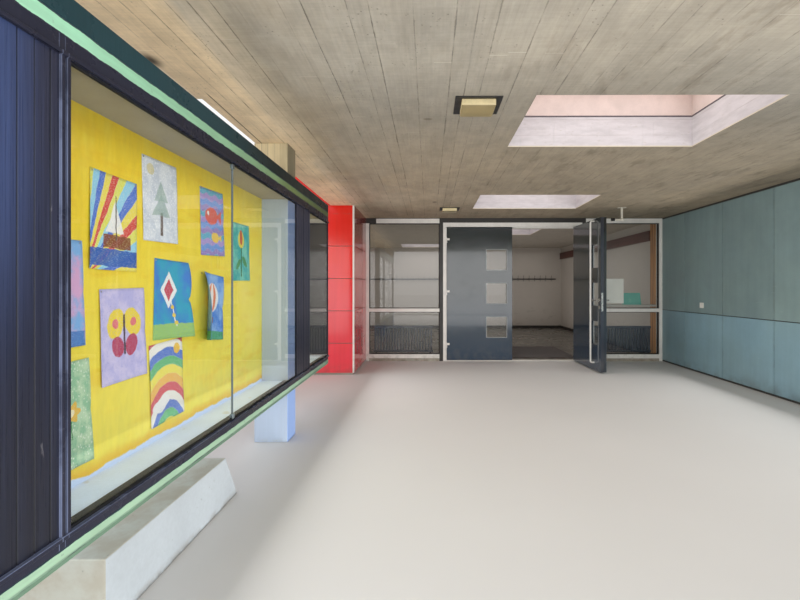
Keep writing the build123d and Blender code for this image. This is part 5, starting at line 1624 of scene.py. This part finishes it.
class ENTRANCE_OT_drawings(PieceOperator, bpy.types.Operator):
    """Ten drawing sheets pinned to the yellow board"""

    bl_idname = "entrance.drawings"
    bl_label = "Drawing sheets"

    # name, drawing, left edge (Y), bottom (Z), turn in degrees, curl of the right and left edges
    SHEETS = (
        ("sky", draw_sky, -5.852, 1.062, 1.0, 0.010, 0.0),
        ("rays", draw_rays, -5.518, 1.372, -1.0, 0.006, 0.004),
        ("snow", draw_snow, -5.172, 1.532, 1.5, 0.006, 0.0),
        ("fish", draw_fish, -4.614, 1.500, 2.0, 0.012, 0.0),
        ("tulip", draw_tulip, -4.170, 1.345, 0.8, 0.008, 0.004),
        ("butterfly", draw_butterfly, -5.458, 0.872, 1.2, 0.012, 0.006),
        ("kite", draw_kite, -5.082, 1.022, -2.0, 0.060, 0.0),
        ("balloon", draw_balloon, -4.630, 0.962, -6.0, 0.020, 0.085),
        ("rainbow", draw_rainbow, -5.115, 0.590, 2.2, 0.008, 0.004),
        ("meadow", draw_meadow, -5.812, 0.585, 2.0, 0.012, 0.0),
    )

    def build(self, c, sizes):
        draw = random.Random(sizes.seed)
        pins = bmesh.new()
        for name, picture, y, z, turn, right, left in self.SHEETS:
            self.sheet(name, picture, y, z, turn, right, left, sizes, draw)
            for corner in (0.04, 0.96):
                self.pin(pins, y, z, turn, corner, sizes)
        bmesh.ops.recalc_face_normals(pins, faces=pins.faces)
        mesh = from_bmesh(pins)
        smooth_by_angle(mesh, 40.0)
        piece("sheet_pins", mesh, metal_finish("pin_metal", "c9c6b6", 0.3))

    def place(self, y, z, turn, s, t, lift, sizes):
        """A point of a sheet: s across and t up it, 0 to 1, lifted off the board."""
        w, h = sizes.sheet_width, sizes.sheet_height
        across, up = (s - 0.5) * w, (t - 0.5) * h
        a = math.radians(turn)
        return Vector((BOARD_HIGH.x + 0.0012 + lift,
                       y + w / 2 + across * math.cos(a) - up * math.sin(a),
                       z + h / 2 + across * math.sin(a) + up * math.cos(a)))

    def lift(self, s, t, right, left, wave):
        """How far the paper stands off: held at the top corners, loose below and at an edge."""
        loose = 1.0 - t ** 3
        bend = right * max(0.0, (s - 0.45) / 0.55) ** 2 * (0.35 + 0.65 * abs(2 * t - 1) ** 0.5)
        bend += left * max(0.0, (0.45 - s) / 0.45) ** 2
        ripple = 0.0022 * math.sin(wave + 5.2 * s + 2.4 * t) ** 2
        belly = 0.004 * math.sin(math.pi * s) * loose
        return bend * (0.25 + 0.75 * loose) + ripple * loose + belly

    def sheet(self, name, picture, y, z, turn, right, left, sizes, draw):
        columns, rows = 18, 24
        wave = draw.uniform(0, math.tau)
        bm = bmesh.new()
        uv = bm.loops.layers.uv.new("sheet")
        grid = [[bm.verts.new(self.place(y, z, turn, i / columns, k / rows, self.lift(
            i / columns, k / rows, right, left, wave), sizes))
            for i in range(columns + 1)] for k in range(rows + 1)]
        for k in range(rows):
            for i in range(columns):
                face = bm.faces.new((grid[k][i], grid[k][i + 1], grid[k + 1][i + 1],
                                     grid[k + 1][i]))
                face.smooth = True
                around = ((i, k), (i + 1, k), (i + 1, k + 1), (i, k + 1))
                for loop, (a, b) in zip(face.loops, around):
                    loop[uv].uv = (a / columns, b / rows)
        bm.normal_update()
        drawing = Drawing("drawing_" + name)
        picture(drawing)
        item = piece("sheet_" + name, from_bmesh(bm), drawing.crayoned())
        thick = item.modifiers.new("paper", "SOLIDIFY")
        thick.thickness = sizes.paper
        thick.offset = -1.0

    def pin(self, bm, y, z, turn, corner, sizes):
        """A flat-headed pin near a top corner."""
        centre = self.place(y, z, turn, corner, 0.975, 0.0015, sizes)
        made = bmesh.ops.create_cone(bm, cap_ends=True, segments=12, radius1=0.0045, radius2=0.003,
                                     depth=0.003)["verts"]
        turned = Matrix.Translation(centre) @ Matrix.Rotation(math.radians(90), 4, "Y")
        bmesh.ops.transform(bm, matrix=turned, verts=made)


class ENTRANCE_OT_glass_fittings(PieceOperator, bpy.types.Operator):
    """Joint, clips and channel that hold the case glass"""

    bl_idname = "entrance.glass_fittings"
    bl_label = "Glass fittings"

    def build(self, c, sizes):
        low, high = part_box("case_glass")
        joint = ((low.x - 0.004, CASE_JOINT - 0.003, low.z),
                 (high.x + 0.004, CASE_JOINT + 0.003, high.z))
        boxes("glass_joint", rubber_finish("glass_seal", "6d7a82"), [joint], 0.001)
        clips = [((low.x - 0.006, CASE_JOINT - 0.016, z),
                  (high.x + 0.0065, CASE_JOINT + 0.016, z + 0.030)) for z in (low.z + 0.004,
                                                                              high.z - 0.034)]
        boxes("glass_clips", metal_finish("clip_metal", "9fb2bf", 0.3), clips, 0.0015)
        channel = []
        for y0, y1 in ((low.y, -3.408), (-2.960, high.y)):
            for face in (low.x - 0.004, high.x):
                channel += [((face, y0, low.z), (face + 0.004, y1, low.z + 0.010)),
                            ((face, y0, high.z - 0.008), (face + 0.004, y1, high.z))]
        boxes("glass_channel", rubber_finish("channel_black", "191a1f"), channel, 0.0008)


class ENTRANCE_OT_hall(PieceOperator, bpy.types.Operator):
    """What shows of the hall: floor, mat, skirting, hooks, beam, lining, radiators, shelf"""

    bl_idname = "entrance.hall"
    bl_label = "Hall"

    def build(self, c, sizes):
        paint_node(floor_finish(c), "hall_floor")
        self.mat(c, sizes)
        self.hooks(sizes)
        softened("wall_beam", timber_finish("red_brown_paint", c.beam, "47221b", False, 0.45),
                 0.003)
        softened("timber_lining", timber_finish("timber_lining", c.timber, "8a5526"), 0.0015)
        softened("radiators", steel_paint("radiator_paint", c.radiator, 0.38, 0.2), 0.004)
        softened("window_shelf", board_paint("shelf_paint", "b8b4ab", "7f786c"), 0.003)
        self.skirting(sizes)
        self.notices()

    def mat(self, c, sizes):
        low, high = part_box("entrance_mat")
        pile = fibre_finish("mat_ribs", c.mat)
        count = int((high.y - low.y - 0.03) / sizes.mat_pitch)
        ribs = grown(slat_run(), pile, Slat_X=high.x - low.x - 0.03, Slat_Y=sizes.mat_rib,
                     Slat_Z=0.003, Chamfer=0.0012,
                     Start=((low.x + high.x) / 2, low.y + 0.02, high.z - 0.003),
                     Step=(0.0, sizes.mat_pitch, 0.0), Count=count, Jitter=0.0004, Seed=sizes.seed)
        bm = bmesh.new()
        add_box(bm, low, (high.x, high.y, high.z - 0.003))
        add_ring(bm, rectangle((low.x, low.y), (high.x, high.y), "z", high.z - 0.004),
                 Vector((0, 0, 1)), [(0.0, 0.0), (0.003, 0.004), (0.013, 0.004), (0.014, 0.0)])
        piece("mat_with_ribs", joined(ribs, from_bmesh(bm)), pile,
              replaces=("entrance_mat",))

    def hooks(self, sizes):
        low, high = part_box("coat_rail")
        iron = steel_paint("iron_black", "1c1b1c", 0.4, 0.1)
        count = int((high.x - low.x) / sizes.hook_pitch)
        margin = (high.x - low.x - (count - 1) * sizes.hook_pitch) / 2
        hooks = grown(hook_row(), iron, Start=(low.x + margin, high.y - 0.031, 1.548),
                      Pitch=sizes.hook_pitch, Count=count)
        bm = bmesh.new()
        add_box(bm, (low.x, high.y - 0.030, 1.520), (high.x, high.y, 1.550))
        soften(bm, 0.003)
        mesh = joined(hooks, from_bmesh(bm))
        smooth_by_angle(mesh, 40.0)
        piece("coat_hooks", mesh, iron, replaces=("coat_rail",))

    def skirting(self, sizes):
        """A dark skirting along the hall's walls."""
        floor, thick, high = HALL_HIGH.z, 0.012, HALL_HIGH.z + sizes.skirting
        spans = [((HALL_LOW.x, HALL_HIGH.y - thick, floor), (HALL_HIGH.x, HALL_HIGH.y, high)),
                 ((HALL_LOW.x, -0.46, floor), (HALL_LOW.x + thick, HALL_HIGH.y - thick, high)),
                 ((HALL_HIGH.x - thick, 0.985, floor), (HALL_HIGH.x, HALL_HIGH.y - thick, high))]
        boxes("skirting", steel_paint("skirting_paint", "2b2623", 0.4), spans, 0.003)

    def notices(self):
        """A bare sheet on the right window and a folded card on the shelf."""
        paper = board_paint("notice_paper", "e4e2da", "c9c4b8", 0.75)
        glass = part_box("window_glass")[1].y
        boxes("notice_sheet", paper, [((2.242, glass + 0.0005, 1.006),
                                       (2.542, glass + 0.0012, 1.441))])
        bm = bmesh.new()
        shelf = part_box("window_shelf")[1].z
        spine = Vector((2.59, 0.73, 0)), Vector((2.89, 0.73, 0))
        for fold in (-1, 1):
            leaf = []
            for end in spine:
                foot = Vector((end.x, end.y + fold * 0.05, shelf + 0.0005))
                head = Vector((end.x, end.y, shelf + 0.21))
                leaf += [foot, head] if end is spine[0] else [head, foot]
            front = [bm.verts.new(p) for p in leaf]
            rear = [bm.verts.new(p + Vector((0, 0.001, 0))) for p in leaf]
            made = [bm.faces.new(front), bm.faces.new(rear[::-1])]
            for i in range(4):
                k = (i + 1) % 4
                made.append(bm.faces.new((front[k], front[i], rear[i], rear[k])))
        bmesh.ops.recalc_face_normals(bm, faces=bm.faces)
        piece("folded_card", from_bmesh(bm), board_paint("turquoise_card", "5fb0a0", "3f8a80", 0.7))


OPERATORS = (
    ENTRANCE_OT_stage,
    ENTRANCE_OT_concrete,
    ENTRANCE_OT_roof,
    ENTRANCE_OT_lamps,
    ENTRANCE_OT_wall_panels,
    ENTRANCE_OT_red_panels,
    ENTRANCE_OT_screen,
    ENTRANCE_OT_doors,
    ENTRANCE_OT_door_stop,
    ENTRANCE_OT_display_case,
    ENTRANCE_OT_case_boards,
    ENTRANCE_OT_drawings,
    ENTRANCE_OT_glass_fittings,
    ENTRANCE_OT_hall,
)


class ENTRANCE_PT_panel(bpy.types.Panel):
    """Settings and pieces of the entrance building"""

    bl_label = "School entrance"
    bl_space_type = "VIEW_3D"
    bl_region_type = "UI"
    bl_category = "Entrance"

    def draw(self, context):
        layout = self.layout
        for title, group in (("Sizes", context.scene.entrance_sizes),
                             ("Colours", context.scene.entrance_colours)):
            box = layout.box()
            box.label(text=title)
            for key in group.__annotations__:
                box.prop(group, key)
        for operator in OPERATORS:
            layout.operator(operator.bl_idname)


CLASSES = (EntranceColours, EntranceSizes, *OPERATORS, ENTRANCE_PT_panel)


def register():
    for cls in CLASSES:
        bpy.utils.register_class(cls)
    bpy.types.Scene.entrance_colours = PointerProperty(type=EntranceColours)
    bpy.types.Scene.entrance_sizes = PointerProperty(type=EntranceSizes)


def unregister():
    del bpy.types.Scene.entrance_sizes
    del bpy.types.Scene.entrance_colours
    for cls in reversed(CLASSES):
        bpy.utils.unregister_class(cls)


def main():
    register()
    for operator in OPERATORS:
        group, name = operator.bl_idname.split(".")
        getattr(getattr(bpy.ops, group), name)()


if __name__ == "__main__":
    main()
